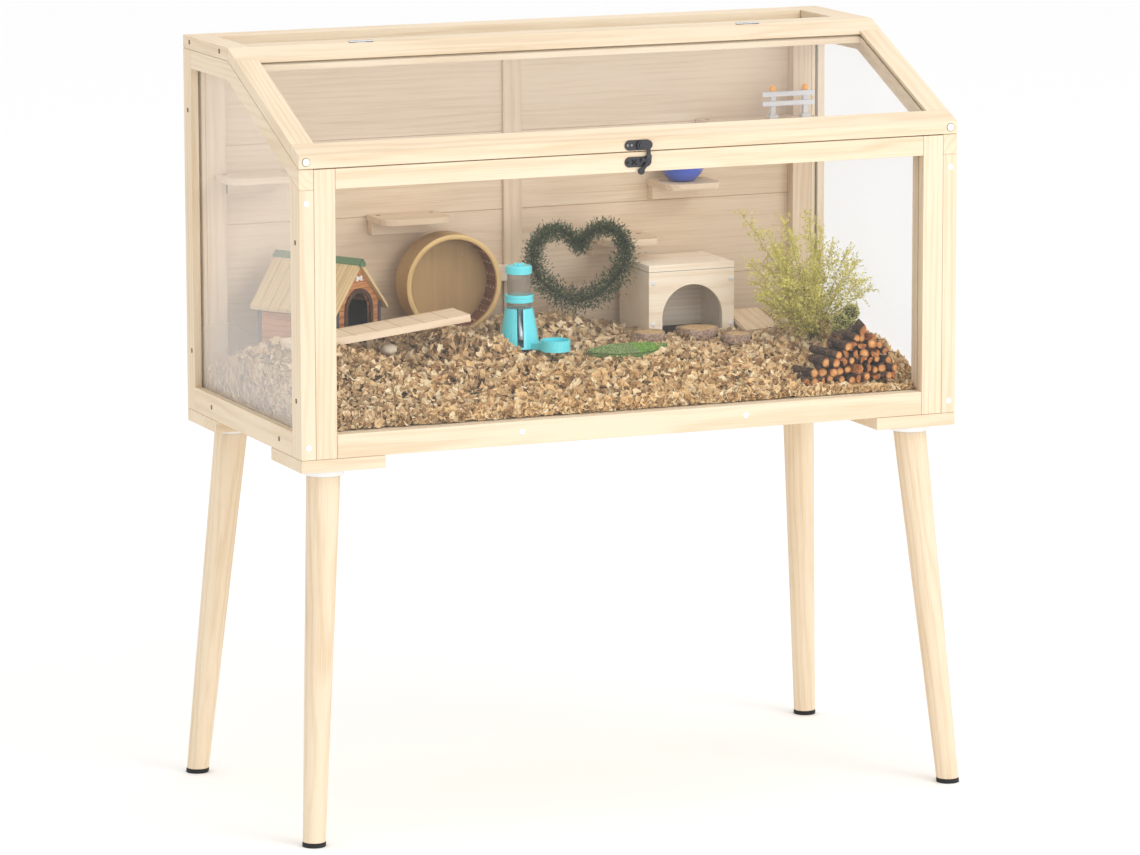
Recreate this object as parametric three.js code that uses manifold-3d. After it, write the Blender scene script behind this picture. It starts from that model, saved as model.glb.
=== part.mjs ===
// A furnished hamster cage: a pine box with a sloping, hinged acrylic lid, clear front and
// sides, a boarded back and four splayed legs, holding bedding, shelves, a running wheel,
// a drinking bottle and a nest box.
// Frame: the origin is on the floor under the middle of the cage, X to the right, Y to the
// back, Z up. Lengths are in millimetres.
import * as THREE from "three";
import { mergeVertices } from "three/addons/utils/BufferGeometryUtils.js";
import Module from "manifold-3d";

const wasm = await Module();
wasm.setup();

// ---- Driving dimensions ----
const GAP = 0.3; // left between pieces that meet
const WIDTH = 1000;
const DEPTH = 476;
const TOP = 1084; // height of the flat top
const FRAME_BOTTOM = 542;
const LID_FRONT_TOP = 963.5; // height of the lid's top edge at the front
const LID_THICKNESS = 18.2; // measured upright
const LID_GAP = 1.2; // air between the closed lid and the frame
const RIDGE_Y = 47; // where the flat top meets the lid

const HALF = WIDTH / 2;
const FRONT = -DEPTH / 2;
const BACK = DEPTH / 2;
const SLOPE = (TOP - LID_FRONT_TOP) / (RIDGE_Y - FRONT);

const PANE = 3;
const TONGUE = 8; // how far a pane reaches into its groove
const GROOVE_PLAY = 0.6;

const side = {
  thickness: 21.6,
  rearStile: 32,
  frontStile: 36.4,
  bottomRail: 35,
  topRail: 27,
  slopeRail: 27.9,
  paneDepth: 13.5, // from the outer face to the middle of the pane
};
const front = {
  depth: 36,
  stile: 31,
  bottomRail: 33.3,
  topRail: 28,
  paneDepth: 17.5,
};
const back = {
  depth: 32,
  stile: 30,
  boardThickness: 12,
  boardFace: 224.7,
  boardPitch: 115,
  boardCount: 4,
  battenLeft: -13,
  battenRight: 16,
  battenThickness: 4.6,
};
const topFrame = {
  height: 19,
  leftRail: 36,
  rightRail: 46,
  rearRail: 45,
  frontRail: 37,
};
const lid = { upperRail: 33, lowerRail: 30.7, stile: 34, paneBelowTop: 8 };
const cleat = { length: 124, depth: 123, bottom: 524 };
const leg = { topX: 450, topY: 189.5, footX: 490.1, footY: 245.8, topR: 24, footR: 16 };
const foot = { height: 6, radius: 16.6 };
const floorThickness = 8;

// ---- Heights that follow from them ----
const lidTop = (y) => LID_FRONT_TOP + (y - FRONT) * SLOPE;
const lidBottom = (y) => lidTop(y) - LID_THICKNESS;
const frameTop = (y) => lidBottom(y) - LID_GAP;
const TOP_FRAME_BOTTOM = TOP - topFrame.height;
const FRONT_FRAME_TOP = frameTop(FRONT);
const SIDE_INNER = HALF - side.thickness;
const FLOOR_TOP = FRAME_BOTTOM + floorThickness;

// ---- Materials ----
function finish(color, roughness, metalness = 0) {
  return new THREE.MeshStandardMaterial({ color, roughness, metalness });
}
const pine = finish(0xf7e3c4, 0.6);
const pineInside = finish(0xdcc7aa, 0.65);
const acrylic = new THREE.MeshStandardMaterial({
  color: 0xe6ecef,
  roughness: 0.05,
  transparent: true,
  opacity: 0.3,
});
const blackRubber = finish(0x202020, 0.8);
const darkSteel = finish(0x4a4a4c, 0.45, 0.8);
const zincSteel = finish(0xb9bcc0, 0.4, 0.9);
const plywood = finish(0xc9a46a, 0.6);
const shavings = finish(0xd9b582, 0.95);
const cyanPlastic = finish(0x66e0ee, 0.35);
const smokedPlastic = finish(0x9a8d80, 0.15);

// ---- Shape helpers ----
const cage = new THREE.Group();

function place(name, geometry, material) {
  const mesh = new THREE.Mesh(geometry, material);
  mesh.name = name;
  cage.add(mesh);
}

// Turns a closed three.js geometry into a solid that can be joined and cut.
function solid(geometry) {
  const bare = geometry.index ? geometry.toNonIndexed() : geometry.clone();
  bare.deleteAttribute("normal");
  bare.deleteAttribute("uv");
  const merged = mergeVertices(bare, 1e-4);
  return new wasm.Manifold(
    new wasm.Mesh({
      numProp: 3,
      vertProperties: merged.attributes.position.array,
      triVerts: new Uint32Array(merged.index.array),
    }),
  );
}

function geometryOf(body) {
  const mesh = body.getMesh();
  const geometry = new THREE.BufferGeometry();
  geometry.setAttribute("position", new THREE.BufferAttribute(mesh.vertProperties, 3));
  geometry.setIndex(new THREE.BufferAttribute(mesh.triVerts, 1));
  geometry.computeVertexNormals();
  return geometry;
}

// The world axes that an outline's first axis, second axis and extrusion follow.
const AXES = {
  x: [new THREE.Vector3(0, 1, 0), new THREE.Vector3(0, 0, 1), new THREE.Vector3(1, 0, 0)],
  y: [new THREE.Vector3(0, 0, 1), new THREE.Vector3(1, 0, 0), new THREE.Vector3(0, 1, 0)],
  z: [new THREE.Vector3(1, 0, 0), new THREE.Vector3(0, 1, 0), new THREE.Vector3(0, 0, 1)],
};

function extrude(axis, from, to, shape, curveSegments = 10) {
  const geometry = new THREE.ExtrudeGeometry(shape, {
    depth: to - from,
    bevelEnabled: false,
    curveSegments,
  });
  geometry.applyMatrix4(new THREE.Matrix4().makeBasis(...AXES[axis]));
  geometry.translate(...AXES[axis][2].clone().multiplyScalar(from).toArray());
  return geometry;
}

// An extrusion along X of (y, z) points, along Y of (z, x) points or along Z of (x, y).
function prism(axis, from, to, points) {
  const shape = new THREE.Shape(points.map(([a, b]) => new THREE.Vector2(a, b)));
  return extrude(axis, from, to, shape);
}

function box(x0, x1, y0, y1, z0, z1) {
  const geometry = new THREE.BoxGeometry(x1 - x0, y1 - y0, z1 - z0);
  return geometry.translate((x0 + x1) / 2, (y0 + y1) / 2, (z0 + z1) / 2);
}

// A cylinder along a world axis, centred on the two other coordinates in X, Y, Z order.
function rod(axis, from, to, radius, centre, segments = 24) {
  const geometry = new THREE.CylinderGeometry(radius, radius, to - from, segments);
  const middle = (from + to) / 2;
  if (axis === "x") {
    geometry.rotateZ(Math.PI / 2);
    return geometry.translate(middle, centre[0], centre[1]);
  }
  if (axis === "z") {
    geometry.rotateX(Math.PI / 2);
    return geometry.translate(centre[0], centre[1], middle);
  }
  return geometry.translate(centre[0], middle, centre[1]);
}

function join(...geometries) {
  return geometries.map(solid).reduce((whole, piece) => whole.add(piece));
}

function cut(geometry, ...tools) {
  return tools.reduce((whole, tool) => whole.subtract(solid(tool)), solid(geometry));
}

// The stretch of X that lies between two distances from the middle, on one side of it.
function span(sign, near, far) {
  return sign < 0 ? [-far, -near] : [near, far];
}

const sideName = (sign) => (sign < 0 ? "left" : "right");

// ---- Sides ----
// The window of a side frame as (y, z) points, grown outwards into the frame by some amount.
function sideWindow(grow) {
  const low = FRAME_BOTTOM + side.bottomRail - grow;
  const high = TOP_FRAME_BOTTOM - side.topRail + grow;
  const nearFront = FRONT + side.frontStile - grow;
  const nearBack = BACK - side.rearStile + grow;
  const sloped = (y) => frameTop(y) - side.slopeRail + grow * Math.hypot(1, SLOPE);
  const bendY = nearFront + (high - sloped(nearFront)) / SLOPE;
  return [
    [nearFront, low],
    [nearBack, low],
    [nearBack, high],
    [bendY, high],
    [nearFront, sloped(nearFront)],
  ];
}

function sideFrame(sign) {
  const name = sideName(sign);
  const [x0, x1] = span(sign, SIDE_INNER, HALF);
  const paneX = sign * (HALF - side.paneDepth);
  const grooveHalf = PANE / 2 + GROOVE_PLAY;
  const groove = prism(
    "x",
    paneX - grooveHalf,
    paneX + grooveHalf,
    sideWindow(TONGUE + GROOVE_PLAY),
  );
  const window = sideWindow(0);
  const [[windowFront, windowLow], [windowBack, windowHigh]] = [window[0], window[2]];
  const bendY = window[3][0];
  const slopeUnder = (y) => frameTop(y) - side.slopeRail;

  const rearStile = box(x0, x1, windowBack, BACK, FRAME_BOTTOM, TOP_FRAME_BOTTOM - GAP);
  place(`${name}_rear_stile`, geometryOf(cut(rearStile, groove)), pine);

  const frontStile = prism("x", x0, x1, [
    [FRONT, FRAME_BOTTOM],
    [windowFront, FRAME_BOTTOM],
    [windowFront, slopeUnder(windowFront) - GAP],
    [FRONT, slopeUnder(FRONT) - GAP],
  ]);
  place(`${name}_front_stile`, geometryOf(cut(frontStile, groove)), pine);

  const bottomRail = box(
    x0,
    x1,
    windowFront + GAP,
    windowBack - GAP,
    FRAME_BOTTOM,
    windowLow,
  );
  place(`${name}_bottom_rail`, geometryOf(cut(bottomRail, groove)), pine);

  const topRail = prism("x", x0, x1, [
    [FRONT, slopeUnder(FRONT)],
    [bendY, windowHigh],
    [windowBack - GAP, windowHigh],
    [windowBack - GAP, TOP_FRAME_BOTTOM - GAP],
    [RIDGE_Y, TOP_FRAME_BOTTOM - GAP],
    [FRONT, frameTop(FRONT)],
  ]);
  place(`${name}_top_rail`, geometryOf(cut(topRail, groove)), pine);

  const pane = prism("x", paneX - PANE / 2, paneX + PANE / 2, sideWindow(TONGUE));
  place(`${name}_pane`, pane, acrylic);
}

// ---- Front ----
function frontFrame() {
  const y1 = FRONT + front.depth;
  const outer = SIDE_INNER - GAP;
  const inner = outer - front.stile;
  const windowLow = FRAME_BOTTOM + front.bottomRail;
  const windowHigh = FRONT_FRAME_TOP - front.topRail;
  const paneY = FRONT + front.paneDepth;
  const window = (grow, thickness) =>
    box(
      -inner - grow,
      inner + grow,
      paneY - thickness / 2,
      paneY + thickness / 2,
      windowLow - grow,
      windowHigh + grow,
    );
  const groove = window(TONGUE + GROOVE_PLAY, PANE + 2 * GROOVE_PLAY);
  for (const sign of [-1, 1]) {
    const [x0, x1] = span(sign, inner, outer);
    const stile = box(x0, x1, FRONT, y1, FRAME_BOTTOM, FRONT_FRAME_TOP);
    place(`front_${sideName(sign)}_stile`, geometryOf(cut(stile, groove)), pine);
  }
  const end = inner - GAP;
  const bottomRail = box(-end, end, FRONT, y1, FRAME_BOTTOM, windowLow);
  place("front_bottom_rail", geometryOf(cut(bottomRail, groove)), pine);
  const topRail = box(-end, end, FRONT, y1, windowHigh, FRONT_FRAME_TOP);
  place("front_top_rail", geometryOf(cut(topRail, groove)), pine);
  place("front_pane", window(TONGUE, PANE), acrylic);
}

// ---- Back ----
function backPanel() {
  const outer = SIDE_INNER - GAP;
  const inner = outer - back.stile;
  const top = TOP_FRAME_BOTTOM - GAP;
  for (const sign of [-1, 1]) {
    const [x0, x1] = span(sign, inner, outer);
    const stile = box(x0, x1, BACK - back.depth, BACK, FRAME_BOTTOM, top);
    place(`back_${sideName(sign)}_stile`, stile, pineInside);
  }
  const end = inner - GAP;
  const boards = box(
    -end,
    end,
    back.boardFace,
    back.boardFace + back.boardThickness,
    FRAME_BOTTOM,
    top,
  );
  place("back_boards", geometryOf(cut(boards, ...boardSeams(end))), pineInside);
  const batten = box(
    back.battenLeft,
    back.battenRight,
    back.boardFace - GAP - back.battenThickness,
    back.boardFace - GAP,
    FLOOR_TOP + GAP,
    top,
  );
  place("back_middle_batten", batten, pineInside);
}

// The V-shaped seams between the tongued boards, on both faces of the back.
function boardSeams(end) {
  const seamDepth = 1.6;
  const seamHalf = 1;
  const firstSeam = FRAME_BOTTOM + side.bottomRail;
  const seams = [];
  for (let i = 0; i <= back.boardCount; i += 1) {
    const z = firstSeam + i * back.boardPitch;
    for (const [face, into] of [
      [back.boardFace, 1],
      [back.boardFace + back.boardThickness, -1],
    ]) {
      const outside = face - into;
      const tip = face + into * seamDepth;
      const points = [
        [outside, z - seamHalf],
        [tip, z],
        [outside, z + seamHalf],
      ];
      seams.push(prism("x", -end - 1, end + 1, into > 0 ? points : points.reverse()));
    }
  }
  return seams;
}

// ---- Floor, cleats and legs ----
function floorPanel() {
  const wide = SIDE_INNER - GAP;
  const narrow = wide - back.stile - GAP;
  const frontY = FRONT + front.depth + GAP;
  const stileY = BACK - back.depth - GAP;
  const backY = back.boardFace - GAP;
  const panel = prism("z", FRAME_BOTTOM, FLOOR_TOP, [
    [-wide, frontY],
    [wide, frontY],
    [wide, stileY],
    [narrow, stileY],
    [narrow, backY],
    [-narrow, backY],
    [-narrow, stileY],
    [-wide, stileY],
  ]);
  place("floor_panel", panel, plywood);
}

// A round bar whose ends are level, leaning from one point to another.
function leaningBar(low, high, lowRadius, highRadius, segments = 32) {
  const height = high.z - low.z;
  const bar = new THREE.CylinderGeometry(highRadius, lowRadius, height, segments);
  bar.rotateX(Math.PI / 2);
  bar.translate(0, 0, height / 2);
  const lean = new THREE.Matrix4();
  lean.elements[8] = (high.x - low.x) / height;
  lean.elements[9] = (high.y - low.y) / height;
  bar.applyMatrix4(lean);
  return bar.translate(low.x, low.y, low.z);
}

function corner(signX, signY) {
  const name = `${signY < 0 ? "front" : "rear"}_${sideName(signX)}`;
  const [x0, x1] = span(signX, HALF - cleat.length, HALF);
  const [y0, y1] = span(signY, BACK - cleat.depth, BACK);
  const block = box(x0, x1, y0, y1, cleat.bottom, FRAME_BOTTOM - GAP);
  place(`${name}_cleat`, block, pine);

  const legTop = cleat.bottom - GAP;
  const legBottom = foot.height + GAP;
  const drop = new THREE.Vector3(leg.footX - leg.topX, leg.footY - leg.topY, -legTop);
  const onAxis = (z) => {
    const share = (legTop - z) / legTop;
    return new THREE.Vector3(
      signX * (leg.topX + drop.x * share),
      signY * (leg.topY + drop.y * share),
      z,
    );
  };
  const shaft = leaningBar(onAxis(legBottom), onAxis(legTop), leg.footR, leg.topR);
  place(`${name}_leg`, shaft, pine);
  const pad = leaningBar(onAxis(0), onAxis(foot.height), foot.radius, foot.radius);
  place(`${name}_foot`, pad, blackRubber);
}

// ---- Hinges ----
const hinge = {
  x: 300,
  length: 36,
  axisY: RIDGE_Y,
  axisZ: TOP + 0.5, // just proud of the boards, so that the lid can fold right back
  knuckleR: 1.6,
  pinR: 0.8,
  boreR: 1.05,
  leaf: 0.9,
  leafGap: 0.4, // from the middle plane to a leaf
  leafBottom: TOP - 14,
  lidKnuckle: 14,
};
const hingeXs = [-hinge.x, hinge.x];

// What each rail loses so that the hinges fit between them.
function hingePockets(sign) {
  const play = 0.3;
  const reach = hinge.leafGap + hinge.leaf + play;
  return hingeXs.flatMap((x) => {
    const x0 = x - hinge.length / 2 - play;
    const x1 = x + hinge.length / 2 + play;
    const [y0, y1] = sign < 0 ? [-reach, 1] : [-1, reach];
    const mortise = box(
      x0,
      x1,
      hinge.axisY + y0,
      hinge.axisY + y1,
      hinge.leafBottom - play,
      TOP + 2,
    );
    const relief = rod("x", x0, x1, hinge.knuckleR + play, [hinge.axisY, hinge.axisZ]);
    return [mortise, relief];
  });
}

function hingePair(x) {
  const name = sideName(x);
  const x0 = x - hinge.length / 2;
  const x1 = x + hinge.length / 2;
  const lidX0 = x - hinge.lidKnuckle / 2;
  const lidX1 = x + hinge.lidKnuckle / 2;
  const clearance = 0.35;
  const axis = [hinge.axisY, hinge.axisZ];
  const near = hinge.leafGap;
  const far = hinge.leafGap + hinge.leaf;
  const leafTop = hinge.axisZ - hinge.knuckleR - clearance;
  const knuckle = (from, to) => rod("x", from, to, hinge.knuckleR, axis);
  const yFrame = [hinge.axisY + near, hinge.axisY + far];
  const yLid = [hinge.axisY - far, hinge.axisY - near];

  const frameLeaf = join(
    box(x0, x1, ...yFrame, hinge.leafBottom, leafTop),
    box(x0, lidX0 - clearance, ...yFrame, leafTop - 1, hinge.axisZ),
    box(lidX1 + clearance, x1, ...yFrame, leafTop - 1, hinge.axisZ),
    knuckle(x0, lidX0 - clearance),
    knuckle(lidX1 + clearance, x1),
    rod("x", x0, x1, hinge.pinR, axis, 16),
  );
  place(`${name}_hinge_frame_leaf`, geometryOf(frameLeaf), zincSteel);

  const lidLeaf = join(
    box(x0, x1, ...yLid, hinge.leafBottom, leafTop),
    box(lidX0, lidX1, ...yLid, leafTop - 1, hinge.axisZ),
    knuckle(lidX0, lidX1),
  ).subtract(solid(rod("x", lidX0 - 1, lidX1 + 1, hinge.boreR, axis, 16)));
  place(`${name}_hinge_lid_leaf`, geometryOf(lidLeaf), zincSteel);
}

// ---- Top ----
function topFrameRails() {
  const railFront = RIDGE_Y + GAP;
  const leftInner = -HALF + topFrame.leftRail;
  const rightInner = HALF - topFrame.rightRail;
  const rearInner = BACK - topFrame.rearRail;
  const frontInner = RIDGE_Y + topFrame.frontRail;
  const between = [leftInner + GAP, rightInner - GAP];
  const heights = [TOP_FRAME_BOTTOM, TOP];
  place("top_left_rail", box(-HALF, leftInner, railFront, BACK, ...heights), pine);
  place("top_right_rail", box(rightInner, HALF, railFront, BACK, ...heights), pine);
  place("top_rear_rail", box(...between, rearInner, BACK, ...heights), pine);
  const frontRail = box(...between, railFront, frontInner, ...heights);
  place("top_front_rail", geometryOf(cut(frontRail, ...hingePockets(1))), pine);
}

// The ventilation grille that is stapled under the flat top's rails.
function topMesh() {
  const halfLength = 474;
  const y0 = 70;
  const y1 = 199;
  const thickness = 1.4;
  const bar = 3;
  const columns = 18;
  const rows = 3;
  const pitchX = (2 * halfLength - bar) / columns;
  const pitchY = (y1 - y0 - bar) / rows;
  const top = TOP_FRAME_BOTTOM - GAP;
  const cells = [];
  for (let i = 0; i < columns; i += 1) {
    for (let j = 0; j < rows; j += 1) {
      const x = -halfLength + bar + i * pitchX;
      const y = y0 + bar + j * pitchY;
      cells.push(box(x, x + pitchX - bar, y, y + pitchY - bar, top - thickness - 1, top + 1));
    }
  }
  const sheet = box(-halfLength, halfLength, y0, y1, top - thickness, top);
  place("top_mesh", geometryOf(cut(sheet, ...cells)), zincSteel);
}

// ---- Lid ----
// A lid board's outline between two depths, as (y, z) points.
function lidSection(y0, y1) {
  return [
    [y0, lidBottom(y0)],
    [y1, lidBottom(y1)],
    [y1, lidTop(y1)],
    [y0, lidTop(y0)],
  ];
}

function lidPane(grow, thickness, inner, y0, y1) {
  const growY = grow / Math.hypot(1, SLOPE);
  const from = y0 - growY;
  const to = y1 + growY;
  const middle = (y) => lidTop(y) - lid.paneBelowTop;
  return prism("x", -inner - grow, inner + grow, [
    [from, middle(from) - thickness / 2],
    [to, middle(to) - thickness / 2],
    [to, middle(to) + thickness / 2],
    [from, middle(from) + thickness / 2],
  ]);
}

function lidFrame() {
  const ridgeEnd = RIDGE_Y - GAP;
  const upperInner = RIDGE_Y - lid.upperRail;
  const lowerInner = FRONT + lid.lowerRail;
  const inner = HALF - lid.stile;
  const window = [inner, lowerInner, upperInner];
  const groove = lidPane(TONGUE + GROOVE_PLAY, PANE + 2 * GROOVE_PLAY, ...window);

  const upper = prism("x", -HALF, HALF, lidSection(upperInner, ridgeEnd));
  place("lid_upper_rail", geometryOf(cut(upper, groove, ...hingePockets(-1))), pine);
  const lower = prism("x", -HALF, HALF, lidSection(FRONT, lowerInner));
  place("lid_lower_rail", geometryOf(cut(lower, groove)), pine);
  for (const sign of [-1, 1]) {
    const section = lidSection(lowerInner + GAP, upperInner - GAP);
    const stile = prism("x", ...span(sign, inner, HALF), section);
    place(`lid_${sideName(sign)}_stile`, geometryOf(cut(stile, groove)), pine);
  }
  place("lid_pane", lidPane(TONGUE, PANE, ...window), acrylic);
}

// ---- Latch ----
const latch = {
  x: 3.3,
  plateLength: 40.7,
  plateHeight: 14.6,
  plate: 1.2,
  upperZ: 954,
  lowerZ: 930.4,
  pivotX: 6.8,
  pivotZ: 954,
  hookFar: 4.8, // from the wood to the hook's outer face
  hook: 1.8,
  rivetR: 2.4,
  rivetHeadR: 3.6,
  rivetHead: 1.6,
  washerGap: 0.3,
  hookRadii: { headR: 6.4, neckR: 2.5, heelR: 4, fingerR: 2.6, thumbR: 5 },
};
const latchY = (distance) => FRONT - GAP - distance;

function plateOutline(z) {
  const r = latch.plateHeight / 2;
  const shape = new THREE.Shape();
  const left = latch.x - latch.plateLength / 2 + r;
  const right = latch.x + latch.plateLength / 2 - r;
  shape.absarc(z, right, r, 0, Math.PI, false);
  shape.absarc(z, left, r, Math.PI, 2 * Math.PI, false);
  return shape;
}

// A flat bar with round ends between two (x, z) points, for the hook's arm.
function roundBar(from, to, radius, y0, y1) {
  const [a, b] = [from, to].map(([x, z]) => new THREE.Vector2(z, x));
  const angle = Math.atan2(b.y - a.y, b.x - a.x);
  const shape = new THREE.Shape();
  shape.absarc(b.x, b.y, radius, angle - Math.PI / 2, angle + Math.PI / 2, false);
  shape.absarc(a.x, a.y, radius, angle + Math.PI / 2, angle + (3 * Math.PI) / 2, false);
  return extrude("y", y0, y1, shape, 12);
}

function latchParts() {
  const near = latchY(0);
  const platePlane = latchY(latch.plate);
  const hookNear = latchY(latch.hookFar - latch.hook);
  const hookFar = latchY(latch.hookFar);
  const pivot = [latch.pivotX, latch.pivotZ];
  const headFar = hookFar - latch.rivetHead;
  const plate = join(
    extrude("y", platePlane, near, plateOutline(latch.upperZ)),
    rod("y", hookNear + latch.washerGap, near, latch.rivetHeadR, pivot),
    rod("y", headFar, near, latch.rivetR, pivot),
    rod("y", headFar, hookFar - latch.washerGap, latch.rivetHeadR, pivot),
  );
  place("latch_plate", geometryOf(plate), darkSteel);
  place(
    "latch_catch",
    extrude("y", platePlane, near, plateOutline(latch.lowerZ)),
    darkSteel,
  );

  const arm = (from, to, radius) => roundBar(from, to, radius, hookFar, hookNear);
  const fromPivot = (right, up) => [latch.pivotX + right, latch.pivotZ + up];
  const bulb = fromPivot(10.5, 0.2);
  const neckTop = fromPivot(11.2, -4);
  const neckLow = fromPivot(11.6, -16);
  const heel = fromPivot(11, -23.5);
  const fingerTip = fromPivot(2.5, -21);
  const thumb = fromPivot(0, -36.5);
  const { headR, neckR, heelR, fingerR, thumbR } = latch.hookRadii;
  const hook = join(
    arm(pivot, bulb, headR),
    arm(neckTop, neckLow, neckR),
    arm(neckLow, heel, heelR),
    arm(heel, fingerTip, fingerR),
    arm(heel, thumb, fingerR),
    rod("y", hookFar, hookNear, thumbR, thumb),
  ).subtract(solid(rod("y", hookFar - 1, hookNear + 1, latch.rivetR + 0.3, pivot)));
  place("latch_hook", geometryOf(hook), darkSteel);
}

// ---- Shelves ----
// A board with round front corners, on a batten that runs along the back.
const shelves = [
  { name: "shelf_over_wheel", x0: -227, x1: -120, y0: 148, top: 811 },
  { name: "shelf_over_nest", x0: 119, x1: 207, y0: 142, top: 762 },
  { name: "shelf_for_bowl", x0: 217.5, x1: 305, y0: 138, top: 840 },
  { name: "shelf_in_left_corner", x0: -465, x1: -350, y0: 140, top: 884 },
  { name: "shelf_for_fence", x0: 297, x1: 477.5, y0: 148, top: 925 },
];

function shelf({ name, x0, x1, y0, top }) {
  const thickness = 9.2;
  const cornerR = 22;
  const bracketHeight = 20;
  const bracketInset = 2;
  const bracketDepth = 18;
  const wall = back.boardFace - GAP;
  const stileFace = BACK - back.depth - GAP;
  const stileInner = SIDE_INNER - 2 * GAP - back.stile;
  const board = new THREE.Shape();
  board.moveTo(x0 + cornerR, y0);
  board.lineTo(x1 - cornerR, y0);
  board.absarc(x1 - cornerR, y0 + cornerR, cornerR, -Math.PI / 2, 0, false);
  board.lineTo(x1, wall);
  board.lineTo(x0, wall);
  board.absarc(x0 + cornerR, y0 + cornerR, cornerR, Math.PI, 1.5 * Math.PI, false);
  const bracket = box(
    Math.max(x0, -stileInner) + bracketInset,
    Math.min(x1 - bracketDepth, stileInner),
    wall - bracketDepth,
    wall,
    top - thickness - bracketHeight,
    top - thickness + 1,
  );
  const slab = solid(extrude("z", top - thickness, top, board, 6));
  const notch = (sign) =>
    solid(box(...span(sign, stileInner, HALF), stileFace, BACK, top - HALF, top + 1));
  const whole = slab.add(solid(bracket)).subtract(notch(-1)).subtract(notch(1));
  place(name, geometryOf(whole), pineInside);
}

// ---- Running wheel ----
const wheel = {
  x: -119.5,
  z: 710.8,
  frontY: 150,
  backY: 195,
  radius: 74,
  rim: 5,
  lip: 7.5,
  disc: 5,
  axleR: 4,
  axlePlay: 0.4,
  boreDepth: 3.4, // the bore is blind, so the disc's front stays plain
};

function runningWheel() {
  const centre = [wheel.x, wheel.z];
  const segments = 48;
  const drum = (from, to, radius) => rod("y", from, to, radius, centre, segments);
  const boreR = wheel.axleR + wheel.axlePlay;
  const body = solid(drum(wheel.frontY, wheel.backY, wheel.radius))
    .subtract(
      solid(drum(wheel.frontY + wheel.disc, wheel.backY - wheel.disc, wheel.radius - wheel.rim)),
    )
    .subtract(solid(drum(wheel.frontY - 1, wheel.backY - wheel.disc, wheel.radius - wheel.lip)))
    .subtract(
      solid(rod("y", wheel.backY - wheel.boreDepth, wheel.backY + 1, boreR, centre)),
    );
  place("wheel_drum", geometryOf(body), plywood);

  const bar = { x0: -150, x1: 8, y0: 204, z0: 703.7, z1: 725.2 };
  const battenFace = back.boardFace - 2 * GAP - back.battenThickness;
  const shoulderR = 8;
  const shoulderGap = 0.5;
  const axleTip = wheel.backY - wheel.boreDepth + wheel.axlePlay;
  const mount = join(
    box(bar.x0, bar.x1, bar.y0, battenFace, bar.z0, bar.z1),
    box(bar.x0, back.battenLeft - 1, battenFace - 1, back.boardFace - GAP, bar.z0, bar.z1),
    rod("y", wheel.backY + shoulderGap, bar.y0 + 1, shoulderR, centre),
    rod("y", axleTip, bar.y0 + 1, wheel.axleR, centre),
  );
  place("wheel_mount", geometryOf(mount), pineInside);
}

// ---- Drinking bottle on its stand ----
const feeder = {
  x: -71,
  y: 20,
  base: 636,
  coneTop: 693,
  coneBottomR: 30,
  coneTopR: 20.3,
  bowlReach: 64,
  bowlAngle: (-58 * Math.PI) / 180,
  bowlR: 21.5,
  bowlTop: 652,
  bowlWall: 2.5,
  wall: 3,
  slotWidth: 9,
  slotTurn: -Math.PI / 10,
  neckHalf: 9,
  neckHeight: 9,
};
// The bottle's outline as (radius, height) points: cap, clear body, ring and neck.
const bottleProfile = [
  [0, feeder.coneTop + GAP],
  [18, feeder.coneTop + GAP],
  [18, 698.6],
  [21, 698.6],
  [21, 712.6],
  [16.8, 712.6],
  [16.8, 738.7],
  [18.4, 738.7],
  [18.4, 754.5],
  [0, 754.5],
];

function bottleStand() {
  const { x, y, wall, neckHalf } = feeder;
  const coneHeight = feeder.coneTop - feeder.base;
  const far = 99; // beyond the stand on any side
  const frustum = (inset, from, to) => {
    const cone = new THREE.CylinderGeometry(
      feeder.coneTopR - inset,
      feeder.coneBottomR - inset,
      coneHeight,
      32,
    );
    cone.rotateX(Math.PI / 2);
    cone.translate(x, y, feeder.base + coneHeight / 2);
    return solid(cone).intersect(solid(box(x - far, x + far, y - far, y + far, from, to)));
  };
  const cos = Math.cos(feeder.bowlAngle);
  const sin = Math.sin(feeder.bowlAngle);
  const bowlCentre = [x + feeder.bowlReach * cos, y + feeder.bowlReach * sin];
  const slotHalf = feeder.slotWidth / 2;
  const slot = box(-slotHalf, slotHalf, -far, 0, feeder.base + wall, feeder.coneTop + 1);
  slot.rotateZ(feeder.slotTurn);
  slot.translate(x, y, 0);
  const neckTop = feeder.base + feeder.neckHeight;
  const neck = box(0, feeder.bowlReach, -neckHalf, neckHalf, feeder.base, neckTop);
  neck.rotateZ(feeder.bowlAngle);
  neck.translate(x, y, 0);
  const base = frustum(0, feeder.base, feeder.coneTop)
    .add(solid(neck))
    .subtract(frustum(wall, feeder.base + wall, feeder.coneTop + 1))
    .subtract(solid(slot))
    .add(solid(rod("z", feeder.base, feeder.bowlTop, feeder.bowlR, bowlCentre, 32)))
    .subtract(
      solid(
        rod(
          "z",
          feeder.base + wall,
          feeder.bowlTop + 1,
          feeder.bowlR - feeder.bowlWall,
          bowlCentre,
          32,
        ),
      ),
    );
  place("feeder_stand", geometryOf(base), cyanPlastic);

  const profile = bottleProfile.map(([r, z]) => new THREE.Vector2(r, z));
  const bottle = new THREE.LatheGeometry(profile, 32);
  bottle.rotateX(Math.PI / 2);
  bottle.translate(x, y, 0);
  place("feeder_bottle", bottle, smokedPlastic);
}

// ---- Nest box ----
const nest = {
  x0: 165.3,
  x1: 302,
  y0: 95,
  y1: 205,
  base: 622,
  top: 729,
  board: 9,
  roof: 9.6,
  archX0: 187,
  archX1: 283,
  archTop: 698,
};

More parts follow.
